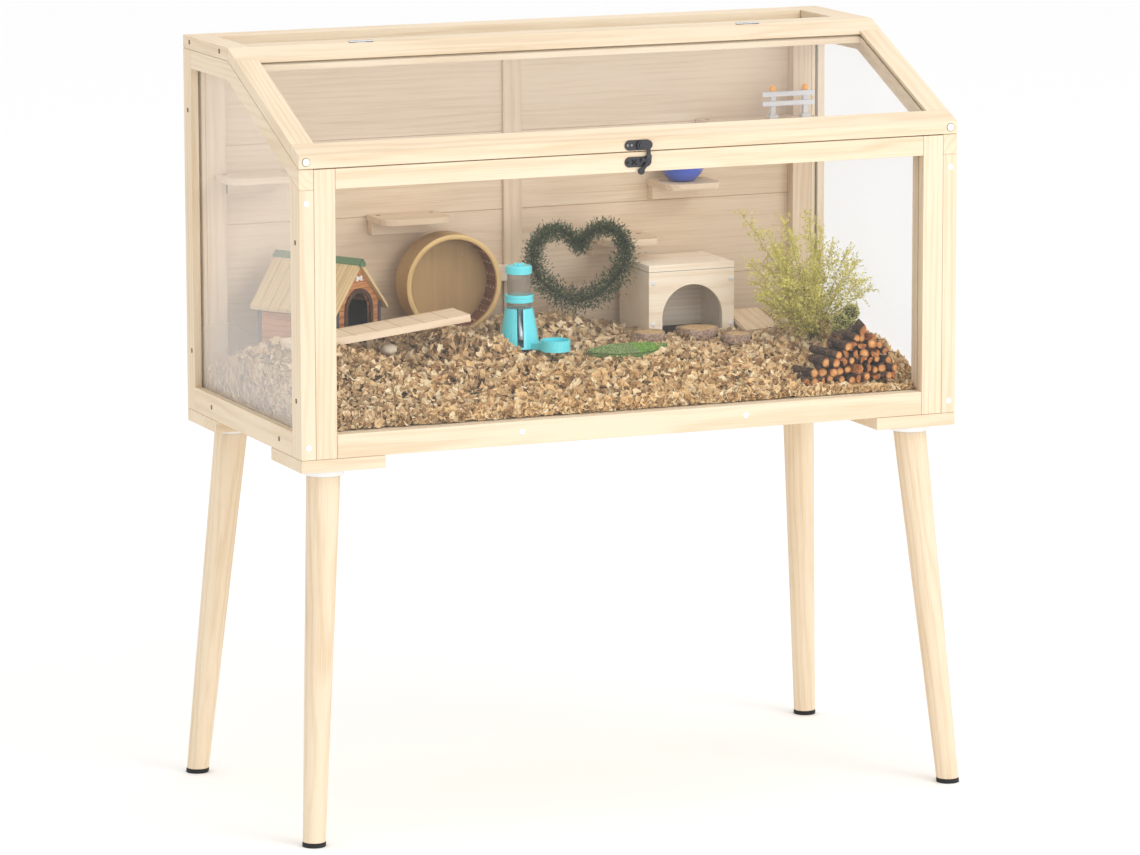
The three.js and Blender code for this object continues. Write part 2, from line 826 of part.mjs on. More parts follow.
function nestBox() {
  const { x0, x1, y0, y1, base, top, board, roof } = nest;
  const underRoof = top - roof;
  const archR = (nest.archX1 - nest.archX0) / 2;
  const archMiddle = (nest.archX0 + nest.archX1) / 2;
  const archSpring = nest.archTop - archR;
  const arch = new THREE.Shape();
  arch.moveTo(base - 1, nest.archX0);
  arch.lineTo(base - 1, nest.archX1);
  arch.lineTo(archSpring, nest.archX1);
  arch.absarc(archSpring, archMiddle, archR, Math.PI / 2, -Math.PI / 2, true);
  const whole = solid(box(x0, x1, y0, y1, base, top))
    .subtract(solid(box(x0 + board, x1 - board, y0 + board, y1 - board, base - 1, underRoof)))
    .subtract(solid(extrude("y", y0 - 1, y0 + board + 1, arch, 14)));
  place("nest_box", geometryOf(whole), pineInside);
}

// ---- Bedding ----
const bedding = { low: 590, rise: 38, edge: 12 };

function smooth(from, to, value) {
  const share = Math.min(Math.max((value - from) / (to - from), 0), 1);
  return share * share * (3 - 2 * share);
}

// Mounds and hollows of the bedding: middle, height and spread.
const mounds = [
  { x: -390, y: -70, height: 52, spread: 105 },
  { x: -330, y: 130, height: 24, spread: 105 },
  { x: -520, y: 260, height: -62, spread: 85 },
  { x: 430, y: -190, height: -14, spread: 110 },
  { x: -140, y: 10, height: 20, spread: 62 },
];

function beddingHeight(x, y) {
  const level = bedding.low + bedding.rise * smooth(FRONT, 60, y);
  return mounds.reduce((z, mound) => {
    const distance = Math.hypot(x - mound.x, y - mound.y) / mound.spread;
    return z + mound.height * Math.exp(-distance * distance);
  }, level);
}

// A closed block over a rectangle, whose top follows the bedding's height less some depth.
function heightBlock(x0, x1, y0, y1, bottom, depth) {
  const columns = 16;
  const rows = 9;
  const points = [];
  const faces = [];
  const stride = columns + 1;
  const layer = stride * (rows + 1);
  for (const isTop of [true, false]) {
    for (let j = 0; j <= rows; j += 1) {
      for (let i = 0; i <= columns; i += 1) {
        const x = x0 + ((x1 - x0) * i) / columns;
        const y = y0 + ((y1 - y0) * j) / rows;
        points.push(x, y, isTop ? beddingHeight(x, y) - depth : bottom);
      }
    }
  }
  const quad = (a, b, c, d) => faces.push(a, b, c, a, c, d);
  for (let j = 0; j < rows; j += 1) {
    for (let i = 0; i < columns; i += 1) {
      const a = j * stride + i;
      quad(a, a + 1, a + stride + 1, a + stride);
      quad(layer + a, layer + a + stride, layer + a + stride + 1, layer + a + 1);
    }
  }
  const wall = (a, b) => quad(layer + a, layer + b, b, a);
  for (let i = 0; i < columns; i += 1) {
    wall(i, i + 1);
    wall(rows * stride + i + 1, rows * stride + i);
  }
  for (let j = 0; j < rows; j += 1) {
    wall((j + 1) * stride, j * stride);
    wall(j * stride + columns, (j + 1) * stride + columns);
  }
  const geometry = new THREE.BufferGeometry();
  geometry.setAttribute("position", new THREE.Float32BufferAttribute(points, 3));
  geometry.setIndex(faces);
  return geometry;
}

// Loose shavings weigh little, so the bedding is a crust with a skirt, open underneath.
function beddingCrust() {
  const crust = 14;
  const under = 6; // the crust lies this far under the flakes' tips
  const inset = 1;
  const x = SIDE_INNER - inset;
  const y0 = FRONT + front.depth + inset;
  const y1 = BACK - back.depth - inset;
  const bottom = FLOOR_TOP + GAP;
  const clearance = 1;
  const hollow = heightBlock(
    -x + crust,
    x - crust,
    y0 + crust,
    y1 - crust,
    bottom - 1,
    under + crust,
  );
  const around = (x0, x1, ya, yb, z) =>
    solid(box(x0 - clearance, x1 + clearance, ya - clearance, yb + clearance, z - clearance, TOP));
  const bowlX = feeder.x + feeder.bowlReach * Math.cos(feeder.bowlAngle);
  const bowlY = feeder.y + feeder.bowlReach * Math.sin(feeder.bowlAngle);
  const standR = feeder.coneBottomR;
  const body = solid(heightBlock(-x, x, y0, y1, bottom, under))
    .subtract(solid(hollow))
    .subtract(around(nest.x0, nest.x1, nest.y0, nest.y1, nest.base))
    .subtract(
      around(
        Math.min(feeder.x - standR, bowlX - feeder.bowlR),
        Math.max(feeder.x + standR, bowlX + feeder.bowlR),
        bowlY - feeder.bowlR,
        feeder.y + standR,
        feeder.base,
      ),
    )
    .subtract(
      around(
        wheel.x - wheel.radius,
        wheel.x + wheel.radius,
        wheel.frontY,
        wheel.backY,
        wheel.z - wheel.radius - 2,
      ),
    );
  place("bedding", geometryOf(body), shavings);
}

// ---- The whole cage ----
sideFrame(-1);
sideFrame(1);
frontFrame();
backPanel();
floorPanel();
for (const signY of [-1, 1]) {
  for (const signX of [-1, 1]) corner(signX, signY);
}
topFrameRails();
topMesh();
lidFrame();
hingeXs.forEach(hingePair);
latchParts();
shelves.forEach(shelf);
runningWheel();
bottleStand();
nestBox();
beddingCrust();

export default cage;
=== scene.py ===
"""Looks for the furnished hamster cage.

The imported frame's boards, panes and fittings get their materials here, and the things that
stand in the cage without a CAD node of their own are modelled here. Points are given in
millimetres in the frame's own axes (X right, Y back, Z up) and turned into metres at the end.
"""

import math
import random
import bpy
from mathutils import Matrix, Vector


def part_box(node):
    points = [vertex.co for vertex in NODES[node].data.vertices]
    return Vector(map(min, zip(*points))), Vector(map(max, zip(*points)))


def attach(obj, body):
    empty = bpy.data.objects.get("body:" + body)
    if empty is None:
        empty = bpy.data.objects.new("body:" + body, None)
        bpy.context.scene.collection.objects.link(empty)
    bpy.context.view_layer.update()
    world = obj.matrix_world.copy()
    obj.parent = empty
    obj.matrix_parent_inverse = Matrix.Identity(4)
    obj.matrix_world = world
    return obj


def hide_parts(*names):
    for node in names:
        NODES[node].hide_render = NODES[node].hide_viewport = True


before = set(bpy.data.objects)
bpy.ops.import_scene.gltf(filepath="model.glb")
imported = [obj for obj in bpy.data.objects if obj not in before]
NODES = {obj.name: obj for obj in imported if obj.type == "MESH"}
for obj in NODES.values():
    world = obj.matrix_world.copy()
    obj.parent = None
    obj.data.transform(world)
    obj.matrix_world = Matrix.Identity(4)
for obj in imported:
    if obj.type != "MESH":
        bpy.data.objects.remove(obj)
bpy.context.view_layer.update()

from types import SimpleNamespace

import bmesh
import bpy
import numpy as np
from mathutils import Matrix, Vector

MM = 0.001
UP = (0.0, 0.0, 1.0)
TO_FRONT = (0.0, -1.0, 0.0)
BOTH_SIDES = (-1, 1)
FULL_TURN = 2 * math.pi


# ---- Colours and node trees ----
def tone(red, green, blue):
    """A shader colour from the 0 to 255 values that a colour picker shows."""

    def linear(value):
        share = value / 255
        return share / 12.92 if share <= 0.04045 else ((share + 0.055) / 1.055) ** 2.4

    return (linear(red), linear(green), linear(blue), 1.0)


class Shader:
    """A material's node tree, with short ways to add and join its nodes."""

    def __init__(self, name, settings):
        self.material = bpy.data.materials.new(name)
        self.material.use_nodes = True
        self.tree = self.material.node_tree
        self.surface = self.tree.nodes["Principled BSDF"]
        for socket, value in settings.items():
            self.put(self.surface.inputs[socket], value)

    def put(self, socket, value):
        if isinstance(value, bpy.types.NodeSocket):
            self.tree.links.new(value, socket)
        else:
            socket.default_value = value

    def add(self, kind, inputs=None, **properties):
        node = self.tree.nodes.new("ShaderNode" + kind)
        for key, value in properties.items():
            setattr(node, key, value)
        for key, value in (inputs or {}).items():
            self.put(node.inputs[key], value)
        return node

    def math(self, operation, first, second=0.0):
        return self.add("Math", {0: first, 1: second}, operation=operation).outputs[0]

    def times(self, first, second):
        return self.math("MULTIPLY", first, second)

    def plus(self, first, second):
        return self.math("ADD", first, second)

    def minus(self, first, second):
        return self.math("SUBTRACT", first, second)

    def mix(self, share, first, second):
        node = self.add("Mix", data_type="RGBA")
        self.put(node.inputs[0], share)
        self.put(node.inputs[6], first)
        self.put(node.inputs[7], second)
        return node.outputs[2]

    def noise(self, place, scale, detail=2.0):
        inputs = {"Vector": place, "Scale": scale, "Detail": detail}
        return self.add("TexNoise", inputs).outputs[0]

    def cells(self, place, scale):
        """The distance to the nearest of many scattered points."""
        return self.add("TexVoronoi", {"Vector": place, "Scale": scale}).outputs["Distance"]

    def stretch(self, place, scale):
        return self.add("Mapping", {"Vector": place, "Scale": scale}).outputs[0]

    def step(self, value, low, high):
        """0 below low and 1 above high, with a smooth rise between them."""
        inputs = {"Value": value, "From Min": low, "From Max": high}
        return self.add("MapRange", inputs, interpolation_type="SMOOTHSTEP").outputs[0]

    def own_shade(self):
        """A number from 0 to 1 that is the same all over one leaf or flake."""
        return self.add("NewGeometry").outputs["Random Per Island"]

    def colour(self, value):
        self.put(self.surface.inputs["Base Color"], value)

    def bump(self, height, strength, distance):
        inputs = {"Height": height, "Strength": strength, "Distance": distance}
        self.put(self.surface.inputs["Normal"], self.add("Bump", inputs).outputs[0])

    def here(self):
        return self.add("TexCoord").outputs["Object"]

    def along(self, axis):
        """How far along X (0), Y (1) or Z (2) a point lies, in metres."""
        return self.add("SeparateXYZ", {0: self.here()}).outputs[axis]


def dimmed(colour, share):
    """A darker colour: each channel times a share."""
    return tuple(channel * share for channel in colour[:3]) + (1.0,)


def board_by_board(shader, place, first_seam, pitch):
    """Shifts the grain from one board to the next where one piece shows several."""
    above = shader.minus(shader.along(2), first_seam)
    number = shader.math("FLOOR", shader.math("DIVIDE", above, pitch))
    shift = {0: shader.times(number, 0.731), 1: shader.times(number, 0.057)}
    sideways = shader.add("CombineXYZ", shift).outputs[0]
    return shader.add("VectorMath", {0: place, 1: sideways}, operation="ADD").outputs[0]


def add_knots(shader, board, planed, dark, amount):
    """Round brown knots, far apart along the board."""
    distance = shader.cells(shader.stretch(board, (4.0, 14.0, 14.0)), 1.0)
    knot = shader.minus(1.0, shader.step(distance, 0.03, 0.07))
    brown = tuple(channel * left for channel, left in zip(dark, (0.42, 0.33, 0.25, 1)))
    return shader.mix(shader.times(knot, amount), planed, brown)


def wood(name, shades, seed, along=(1, 0, 0), centre=(0, 0, 0), **look):
    """Planed softwood: growth rings cut along the board, fine fibres and now and then a knot.

    look holds period (metres from ring to ring), rings, fibres and knots (how strong each
    shows), and boards: the first seam's height and the pitch where one piece shows several.
    """
    light, dark = shades
    draw = random.Random(seed)
    shader = Shader(name, {"Roughness": 0.55, "Specular IOR Level": 0.3})
    place = shader.here()
    if "boards" in look:
        place = board_by_board(shader, place, *look["boards"])
    local = shader.add("VectorMath", {0: place, 1: tuple(centre)}, operation="SUBTRACT").outputs[0]
    turn = Vector(along).rotation_difference(Vector((1, 0, 0))).to_euler()
    pith_ahead = draw.uniform(-3, 3)
    pith_aside = draw.uniform(0.01, 0.05) * draw.choice(BOTH_SIDES)
    pith = (pith_ahead, pith_aside, draw.uniform(0.008, 0.045))
    board = shader.add("Mapping", {"Vector": local, "Rotation": turn, "Location": pith}).outputs[0]

    wave = {
        "Vector": shader.stretch(board, (0.13, 1, 1)),
        "Scale": 0.314 / look.get("period", 0.0085),
        "Distortion": 10.0,
        "Detail": 3.0,
        "Detail Scale": 0.55,
    }
    rings = shader.add("TexWave", wave, wave_type="RINGS", rings_direction="X").outputs["Fac"]
    rings = shader.math("POWER", rings, 1.8)
    fibres = shader.noise(shader.stretch(board, (0.012, 1, 1)), 950.0)
    patches = shader.noise(shader.stretch(board, (0.2, 1, 1)), 16.0)
    share = shader.times(rings, look.get("rings", 0.28))
    fibre_share = shader.times(shader.minus(fibres, 0.45), look.get("fibres", 0.9))
    patch_share = shader.times(shader.minus(patches, 0.5), 0.9)
    share = shader.plus(share, shader.plus(fibre_share, patch_share))
    planed = shader.mix(share, light, dark)
    shader.colour(add_knots(shader, board, planed, dark, look.get("knots", 0.7)))
    shader.bump(fibres, 0.08, 0.0004)
    return shader.material


# One pine in three copies: PINE outside; a lighter copy for the nest box and the wheel mount, painted
# brighter against the shade inside the cage; and a slightly darker copy for the back stiles, back batten,
# back boards and shelves, painted as the shade at the back of the cage.
PINE = (tone(229, 211, 184), tone(201, 171, 132))
SHADE_BRIGHTENED_PINE = (tone(255, 243, 222), tone(228, 200, 164))
SHADE_DARKENED_PINE = (tone(226, 206, 180), tone(198, 168, 132))


def acrylic(name, haze, tint=(252, 252, 252), dust=0.0, gloss=0.22):
    """Clear sheet with a slight haze, a shine that grows at a glance, and dust near its foot."""
    shader = Shader(name, {"Roughness": 0.04, "Base Color": tone(*tint), "IOR": 1.49})
    fresnel = shader.add("Fresnel", {"IOR": 1.35}).outputs[0]
    wipe = shader.noise(shader.here(), 3.0)
    cloudy = shader.times(shader.plus(wipe, 0.5), haze)
    if dust:
        low_part = shader.minus(1.0, shader.step(shader.along(2), 0.58, 0.76))
        cloudy = shader.plus(cloudy, shader.times(low_part, dust))
    shine = shader.times(fresnel, gloss)
    shader.put(shader.surface.inputs["Alpha"], shader.plus(cloudy, shine))
    return shader.material


def plain(name, colour, roughness, metallic=0.0, speckle=0.12, grain=400.0, coat=0.0):
    """One material all through, with a little uneven colour and a fine surface."""
    settings = {"Roughness": roughness, "Metallic": metallic, "Coat Weight": coat}
    shader = Shader(name, settings)
    uneven = shader.noise(shader.here(), grain, 3.0)
    shader.colour(shader.mix(uneven, dimmed(colour, 1 - 2 * speckle), colour))
    shader.bump(uneven, 0.08, 0.0004)
    return shader.material


# ---- Mesh building ----
def around(sides):
    """The angles of a ring's corners."""
    return [FULL_TURN * side / sides for side in range(sides)]


def sleeve(rings, sides):
    """The faces between rings of points that follow one another."""
    faces = []
    for ring in range(rings - 1):
        for side in range(sides):
            a, b = ring * sides + side, ring * sides + (side + 1) % sides
            faces.append((a, b, b + sides, a + sides))
    return faces


def end_faces(rings, sides):
    """The faces that close the first and the last ring."""
    last = (rings - 1) * sides
    return tuple(range(sides - 1, -1, -1)), tuple(range(last, last + sides))


def ball(radius, height, steps, least):
    """A profile for lathe: half an ellipse from bottom to top."""
    angles = [math.pi * i / steps for i in range(steps + 1)]
    return [(max(least, radius * math.sin(a)), -height * math.cos(a)) for a in angles]


def new_object(name, points, faces, materials):
    """Puts a mesh in the scene. Its points are in metres."""
    mesh = bpy.data.meshes.new(name)
    mesh.from_pydata(points, [], faces)
    for material in materials:
        mesh.materials.append(material)
    made = bpy.data.objects.new(name, mesh)
    bpy.context.scene.collection.objects.link(made)
    return made


class Shape:
    """Gathers the points (in millimetres) and faces of one piece."""

    def __init__(self, turn=None):
        self.points = []
        self.faces = []
        self.slots = []
        self.turn = Matrix.Identity(4) if turn is None else turn

    def add(self, points, faces, slot=0):
        base = len(self.points)
        self.points.extend(self.turn @ Vector(point) for point in points)
        self.faces.extend([base + index for index in face] for face in faces)
        self.slots.extend([slot] * len(faces))

    def box(self, low, high, slot=0):
        (x0, y0, z0), (x1, y1, z1) = low, high
        points = [(x, y, z) for z in (z0, z1) for y in (y0, y1) for x in (x0, x1)]
        sides = [(0, 2, 3, 1), (4, 5, 7, 6), (0, 1, 5, 4), (1, 3, 7, 5), (3, 2, 6, 7), (2, 0, 4, 6)]
        self.add(points, sides, slot)

    def prism(self, outline, low, high):
        """A flat outline of (x, z) points, running along Y from low to high."""
        count = len(outline)
        points = [(x, y, z) for y in (low, high) for x, z in outline]
        faces = [tuple(range(count)), tuple(range(2 * count - 1, count - 1, -1))]
        faces += [(i, i + count, (i + 1) % count + count, (i + 1) % count) for i in range(count)]
        self.add(points, faces)

    def lathe(self, profile, centre, axis=UP, sides=32, slot=0, wobble=None, open_ends=False):
        """Turns (radius, height) points round an axis through a centre."""
        turn = Vector(UP).rotation_difference(Vector(axis)).to_matrix()
        middle = Vector(centre)
        points = []
        for ring, (radius, height) in enumerate(profile):
            for angle in around(sides):
                spread = radius * (wobble(angle, ring) if wobble else 1)
                local = Vector((spread * math.cos(angle), spread * math.sin(angle), height))
                points.append(middle + turn @ local)
        faces = sleeve(len(profile), sides)
        if not open_ends:
            for end, face in zip((profile[0], profile[-1]), end_faces(len(profile), sides)):
                if end[0] > 0:
                    faces.append(face)
        self.add(points, faces, slot)

    def tube(self, path, radius, sides):
        """A tube along points; radius is a number or a list with one for each point."""
        path = [Vector(point) for point in path]
        radii = radius if isinstance(radius, list) else [radius] * len(path)
        points = []
        for i, middle in enumerate(path):
            ahead = path[min(i + 1, len(path) - 1)] - path[max(i - 1, 0)]
            across = ahead.cross(Vector((0.31, 0.17, 0.93))).normalized()
            upward = ahead.cross(across).normalized()
            for angle in around(sides):
                offset = across * math.cos(angle) + upward * math.sin(angle)
                points.append(middle + offset * radii[i])
        self.add(points, [*sleeve(len(path), sides), *end_faces(len(path), sides)])

    def piece(self, name, materials, body="root", bevel=0.0, smooth=False):
        """Makes the object, in metres, and lets it ride on a body."""
        made = new_object(name, [point * MM for point in self.points], self.faces, materials)
        made.data.polygons.foreach_set("material_index", self.slots)
        made.data.polygons.foreach_set("use_smooth", [smooth] * len(self.faces))
        made.data.validate()
        face_outward(made.data)
        if bevel:
            soften(made, bevel)
        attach(made, body)
        return made


def face_outward(mesh):
    """Turns every closed body's faces to look out."""
    work = bmesh.new()
    work.from_mesh(mesh)
    bmesh.ops.recalc_face_normals(work, faces=work.faces)
    work.to_mesh(mesh)
    work.free()


def soften(target, width, segments=2):
    """Rounds a piece's sharp edges a little, as sanding does."""
    rounding = target.modifiers.new("sanded edges", "BEVEL")
    rounding.width = width * MM
    rounding.segments = segments
    rounding.limit_method = "ANGLE"
    rounding.angle_limit = math.radians(30)
    rounding.harden_normals = True


# ---- The frame's boards ----
def dress(node, material, bevel=0.0):
    """Gives a CAD node its material and sanded edges. Its own mesh stays as it is."""
    target = NODES[node]
    target.data.materials.clear()
    target.data.materials.append(material)
    if bevel:
        weld = target.modifiers.new("join faces", "WELD")
        weld.merge_threshold = 1e-6
        flatten = target.modifiers.new("flat faces", "DECIMATE")
        flatten.decimate_type = "DISSOLVE"
        flatten.angle_limit = math.radians(1)
        soften(target, bevel)


def grain_direction(node):
    """The way a board runs: along its longest side, or along its slope or lean."""
    low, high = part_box(node)
    size = high - low
    if node.endswith("_leg"):
        sign_x = 1 if "right" in node else -1
        sign_y = 1 if "rear" in node else -1
        return (sign_x * 40.1, sign_y * 56.3, -524.0)
    if node in ("lid_left_stile", "lid_right_stile"):
        lid_thickness = 0.0182
        return (0.0, size.y, size.z - lid_thickness)
    longest = max(range(3), key=lambda axis: size[axis])
    return tuple(1.0 if axis == longest else 0.0 for axis in range(3))


def dress_board(node, shades, seed, bevel, **look):
    low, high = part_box(node)
    material = wood("fir " + node, shades, seed, grain_direction(node), (low + high) / 2, **look)
    dress(node, material, bevel)


def dress_boards():
    board_ends = ("_stile", "_rail", "_cleat", "_leg")
    nodes = sorted(NODES)
    outside = [n for n in nodes if n.endswith(board_ends) and not n.startswith("back_")]
    for seed, node in enumerate(outside):
        dress_board(node, PINE, seed, 0.9)
    inside = ["back_left_stile", "back_right_stile", "back_middle_batten", "wheel_mount", "nest_box"]
    inside += [node for node in nodes if node.startswith("shelf_")]
    for seed, node in enumerate(inside, 100):
        # The nest box and the wheel mount get the copy painted lighter; the back pieces and the shelves get
        # the copy painted darker as shade.
        shades = SHADE_DARKENED_PINE if node.startswith(("back_", "shelf_")) else SHADE_BRIGHTENED_PINE
        dress_board(node, shades, seed, 0.7, rings=0.3, period=0.0075)
    low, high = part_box("back_boards")
    centre = (0, (low.y + high.y) / 2, 0.8)
    look = {"rings": 0.2, "period": 0.008, "fibres": 1.25, "boards": (0.577, 0.115), "knots": 0.1}
    dress("back_boards", wood("fir back", SHADE_DARKENED_PINE, 200, (1, 0, 0), centre, **look))
    birch = (tone(226, 196, 150), tone(190, 152, 104))
    dress("floor_panel", wood("birch floor", birch, 201))


def dress_panes():
    dress("front_pane", acrylic("acrylic front", 0.014))
    dress("lid_pane", acrylic("acrylic lid", 0.004, gloss=0.1))
    dress("left_pane", acrylic("acrylic left", 0.07, (250, 244, 238), dust=0.09))
    dress("right_pane", acrylic("acrylic right", 0.008))


def dress_fittings():
    rubber = plain("black rubber", tone(28, 28, 28), 0.7)
    zinc = plain("zinc plate", tone(190, 192, 196), 0.35, metallic=1.0)
    for node in sorted(NODES):
        if node.endswith("_foot"):
            dress(node, rubber, 0.8)
        if "hinge" in node:
            dress(node, zinc, 0.2)


# ---- Bedding ----
FLOOR_FRONT, FLOOR_LEVEL = -238.0, 60.0
RAIL_TOP = 577  # the upper face of the side frames' bottom rails
# Bumps and hollows: (x, y, rise, spread).
MOUNDS = (
    (-390, -70, 52, 105), (-330, 130, 24, 105), (-520, 260, -62, 85), (430, -190, -14, 110),
    (-140, 10, 20, 62), (-104, -12, 14, 30), (-62, -52, 7, 28),
)
# Loose shavings above the bedding's own surface, in the same way.
HEAPS = (
    (-205, -8, 46, 40), (-160, 92, 26, 52), (-40, 120, 38, 62), (50, 160, 28, 56),
    (-440, 40, 20, 44), (-255, 55, 20, 34),
)


def raised(height, x, y, mounds):
    """A height with round mounds added to it."""
    for mound_x, mound_y, rise, spread in mounds:
        distance = np.hypot(x - mound_x, y - mound_y) / spread
        height = height + rise * np.exp(-distance * distance)
    return height


def bedding_height(x, y):
    """The bedding's height under a point. It rises to the back and has mounds and hollows."""
    share = np.clip((y - FLOOR_FRONT) / (FLOOR_LEVEL - FLOOR_FRONT), 0, 1)
    return raised(590 + 38 * share * share * (3 - 2 * share), x, y, MOUNDS)


def lumps(x, y):
    """Small unevenness of the bedding, a few millimetres up and down."""
    coarse = np.sin(x / 23 + 1.3) * np.cos(y / 19 + 0.4) + 0.6 * np.sin(x / 11 - y / 13)
    return 2.6 * coarse


def clear_of_furnishings(x, y):
    """True where no furnishing stands on the bedding."""
    in_nest = (x > 163) & (x < 304) & (y > 88) & (y < 208)
    in_stand = np.hypot(x + 71, y - 20) < 20
    in_bowl = np.hypot(x + 37, y + 34) < 16
    in_wheel = (np.abs(x + 119.5) < 62) & (y > 138) & (y < 206)
    return ~(in_nest | in_stand | in_bowl | in_wheel)


def scattered(rng, count):
    """Places for shavings: even over the floor, with more of them along the panes and heaps."""
    x = rng.uniform(-483, 483, count)
    y = rng.uniform(-216, 217, count)
    chance = rng.uniform(0, 1, count)
    x = np.where(chance < 0.1, rng.choice((-480.5, 480.5), count), x)
    y = np.where(chance > 0.93, -210.5, y)
    for heap_x, heap_y, rise, spread in HEAPS:
        extra = int(0.011 * rise * spread * spread / 4)
        x = np.concatenate([x, rng.normal(heap_x, spread * 0.6, extra)])
        y = np.concatenate([y, rng.normal(heap_y, spread * 0.6, extra)])
    return np.clip(x, -482, 482), np.clip(y, -214, 215)


def turn_about(points, axis, angles):
    """Turns each flake's points about one axis by its own angle."""
    first, second = [(1, 2), (2, 0), (0, 1)][axis]
    cos, sin = np.cos(angles)[:, None], np.sin(angles)[:, None]
    turned = points.copy()
    turned[..., first] = points[..., first] * cos - points[..., second] * sin
    turned[..., second] = points[..., first] * sin + points[..., second] * cos
    return turned


def curled_sheets(rng, count, size, long_steps, wide_steps):
    """Small sheets, each bent to its own curl, with ragged edges. Each lies round the origin."""
    length = rng.uniform(size[0], size[1], count)[:, None]
    width = length * rng.uniform(0.55, 0.95, count)[:, None]
    curl = rng.uniform(0.9, 3.0, count)[:, None] * rng.choice(BOTH_SIDES, count)[:, None]
    along = np.tile(np.repeat(np.linspace(-0.5, 0.5, long_steps), wide_steps), (count, 1))
    across = np.tile(np.tile(np.linspace(-0.5, 0.5, wide_steps), long_steps), (count, 1))
    along = along + rng.normal(0, 0.075, along.shape)
    taper = rng.uniform(0.8, 3.4, count)[:, None]
    ragged = rng.uniform(0.45, 1.45, across.shape)
    across = across * (1.05 - taper * along * along) * ragged + rng.normal(0, 0.05, across.shape)
    bend = along * curl
    rise = length / curl * (1 - np.cos(bend)) + rng.normal(0, 0.6, along.shape)
    rise = rise + 9.0 * across * (across + along)
    return np.stack([length / curl * np.sin(bend), width * across, rise], axis=-1)


def settled_height(rng, x, y):
    """How high each flake lies: in a thin crust, and down to the rails along the panes."""
    heaped = raised(0.0 * x, x, y, HEAPS)
    depth = rng.uniform(0, 1, len(x)) * (9 + heaped)
    surface = bedding_height(x, y) + heaped + lumps(x, y)
    at_pane = (y < -203) | (np.abs(x) > 478)
    pane_height = RAIL_TOP + (np.maximum(surface, RAIL_TOP + 1) - RAIL_TOP) * rng.uniform(0, 1, len(x))
    return np.where(at_pane, pane_height, surface - depth)


def flake_mesh(name, count, rng, size, material):
    """Curled shavings scattered over the bedding, as one mesh of small bent sheets."""
    x, y = scattered(rng, count)
    keep = clear_of_furnishings(x, y)
    x, y = x[keep], y[keep]
    count = len(x)
    long_steps, wide_steps = 4, 3
    points = curled_sheets(rng, count, size, long_steps, wide_steps)
    heading = rng.uniform(0, FULL_TURN, count)
    tilt = rng.normal(0, 0.95, count)
    roll = rng.normal(0, 0.8, count)
    points = turn_about(turn_about(turn_about(points, 0, roll), 1, tilt), 2, heading)
    points += np.stack([x, y, settled_height(rng, x, y)], axis=-1)[:, None, :]
    points = np.clip(points, (-483.5, -217.5, RAIL_TOP - 0.5), (483.5, 218.5, np.inf))
    corners = [j * wide_steps + i for j in range(long_steps - 1) for i in range(wide_steps - 1)]
    cells = [(a, a + wide_steps, a + wide_steps + 1, a + 1) for a in corners]
    first_points = np.arange(count) * long_steps * wide_steps
    faces = first_points[:, None, None] + np.array(cells)[None]
    made = new_object(name, (points.reshape(-1, 3) * MM).tolist(), faces.reshape(-1, 4).tolist(), [material])
    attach(made, "root")
    return made


def shaving(name, dark, middle, light):
    """Dry wood shaving: every flake has its own tone, with fine fibres. The darker share of flakes is partly
    their own tone and partly painted shade of flakes lying deep in the bedding; flakes towards the back and
    the left are painted greyer as the shade there.
    """
    shader = Shader(name, {"Roughness": 0.75, "Specular IOR Level": 0.25})
    own_shade = shader.own_shade()
    # The darker share of flakes: partly their own tone, partly painted shade for flakes lying deep in the
    # bedding.
    dark_tone_and_depth_shade = shader.mix(shader.step(own_shade, 0.0, 0.36), dark, middle)
    shade = shader.mix(shader.step(own_shade, 0.5, 1.0), dark_tone_and_depth_shade, light)
    fibre = shader.noise(shader.here(), 420.0, 3.0)
    shade = shader.mix(shader.times(fibre, 0.3), shade, dark)
    # Painted shade: the flakes at the back and along the left are mixed towards a greyer tone, as the shade
    # that falls there.
    rear = shader.step(shader.along(1), -0.11, 0.07)
    left = shader.minus(1.0, shader.step(shader.along(0), -0.44, -0.2))
    dull = shader.times(shader.math("MAXIMUM", rear, left), 0.5)
    painted_shade_tone = shader.mix(own_shade, tone(160, 136, 106), tone(234, 212, 180))
    shader.colour(shader.mix(dull, shade, painted_shade_tone))
    shader.bump(fibre, 0.25, 0.0008)
    return shader.material


def bedding():
    # The bedding's own surface under the flakes is painted dark brown as the shade in the gaps between them.
    painted_gap_shade = plain("painted gap shade", tone(84, 62, 38), 0.95, speckle=0.35, grain=160.0)
    dress("bedding", painted_gap_shade)
    rng = np.random.default_rng(7)
    material = shaving("shavings", tone(156, 118, 74), tone(242, 207, 152), tone(255, 240, 202))
    made = flake_mesh("shavings", 20500, rng, (9.5, 17.5), material)


# ---- Leaves, shared by the plants ----
def leafy(name, dark, light):
    """Green stuff: every leaf has its own shade."""
    shader = Shader(name, {"Roughness": 0.5, "Specular IOR Level": 0.3})
    own_shade = shader.own_shade()
    vein = shader.noise(shader.here(), 300.0)
    shade = shader.mix(own_shade, dark, light)
    shader.colour(shader.mix(shader.times(vein, 0.4), shade, dimmed(dark, 0.7)))
    return shader.material


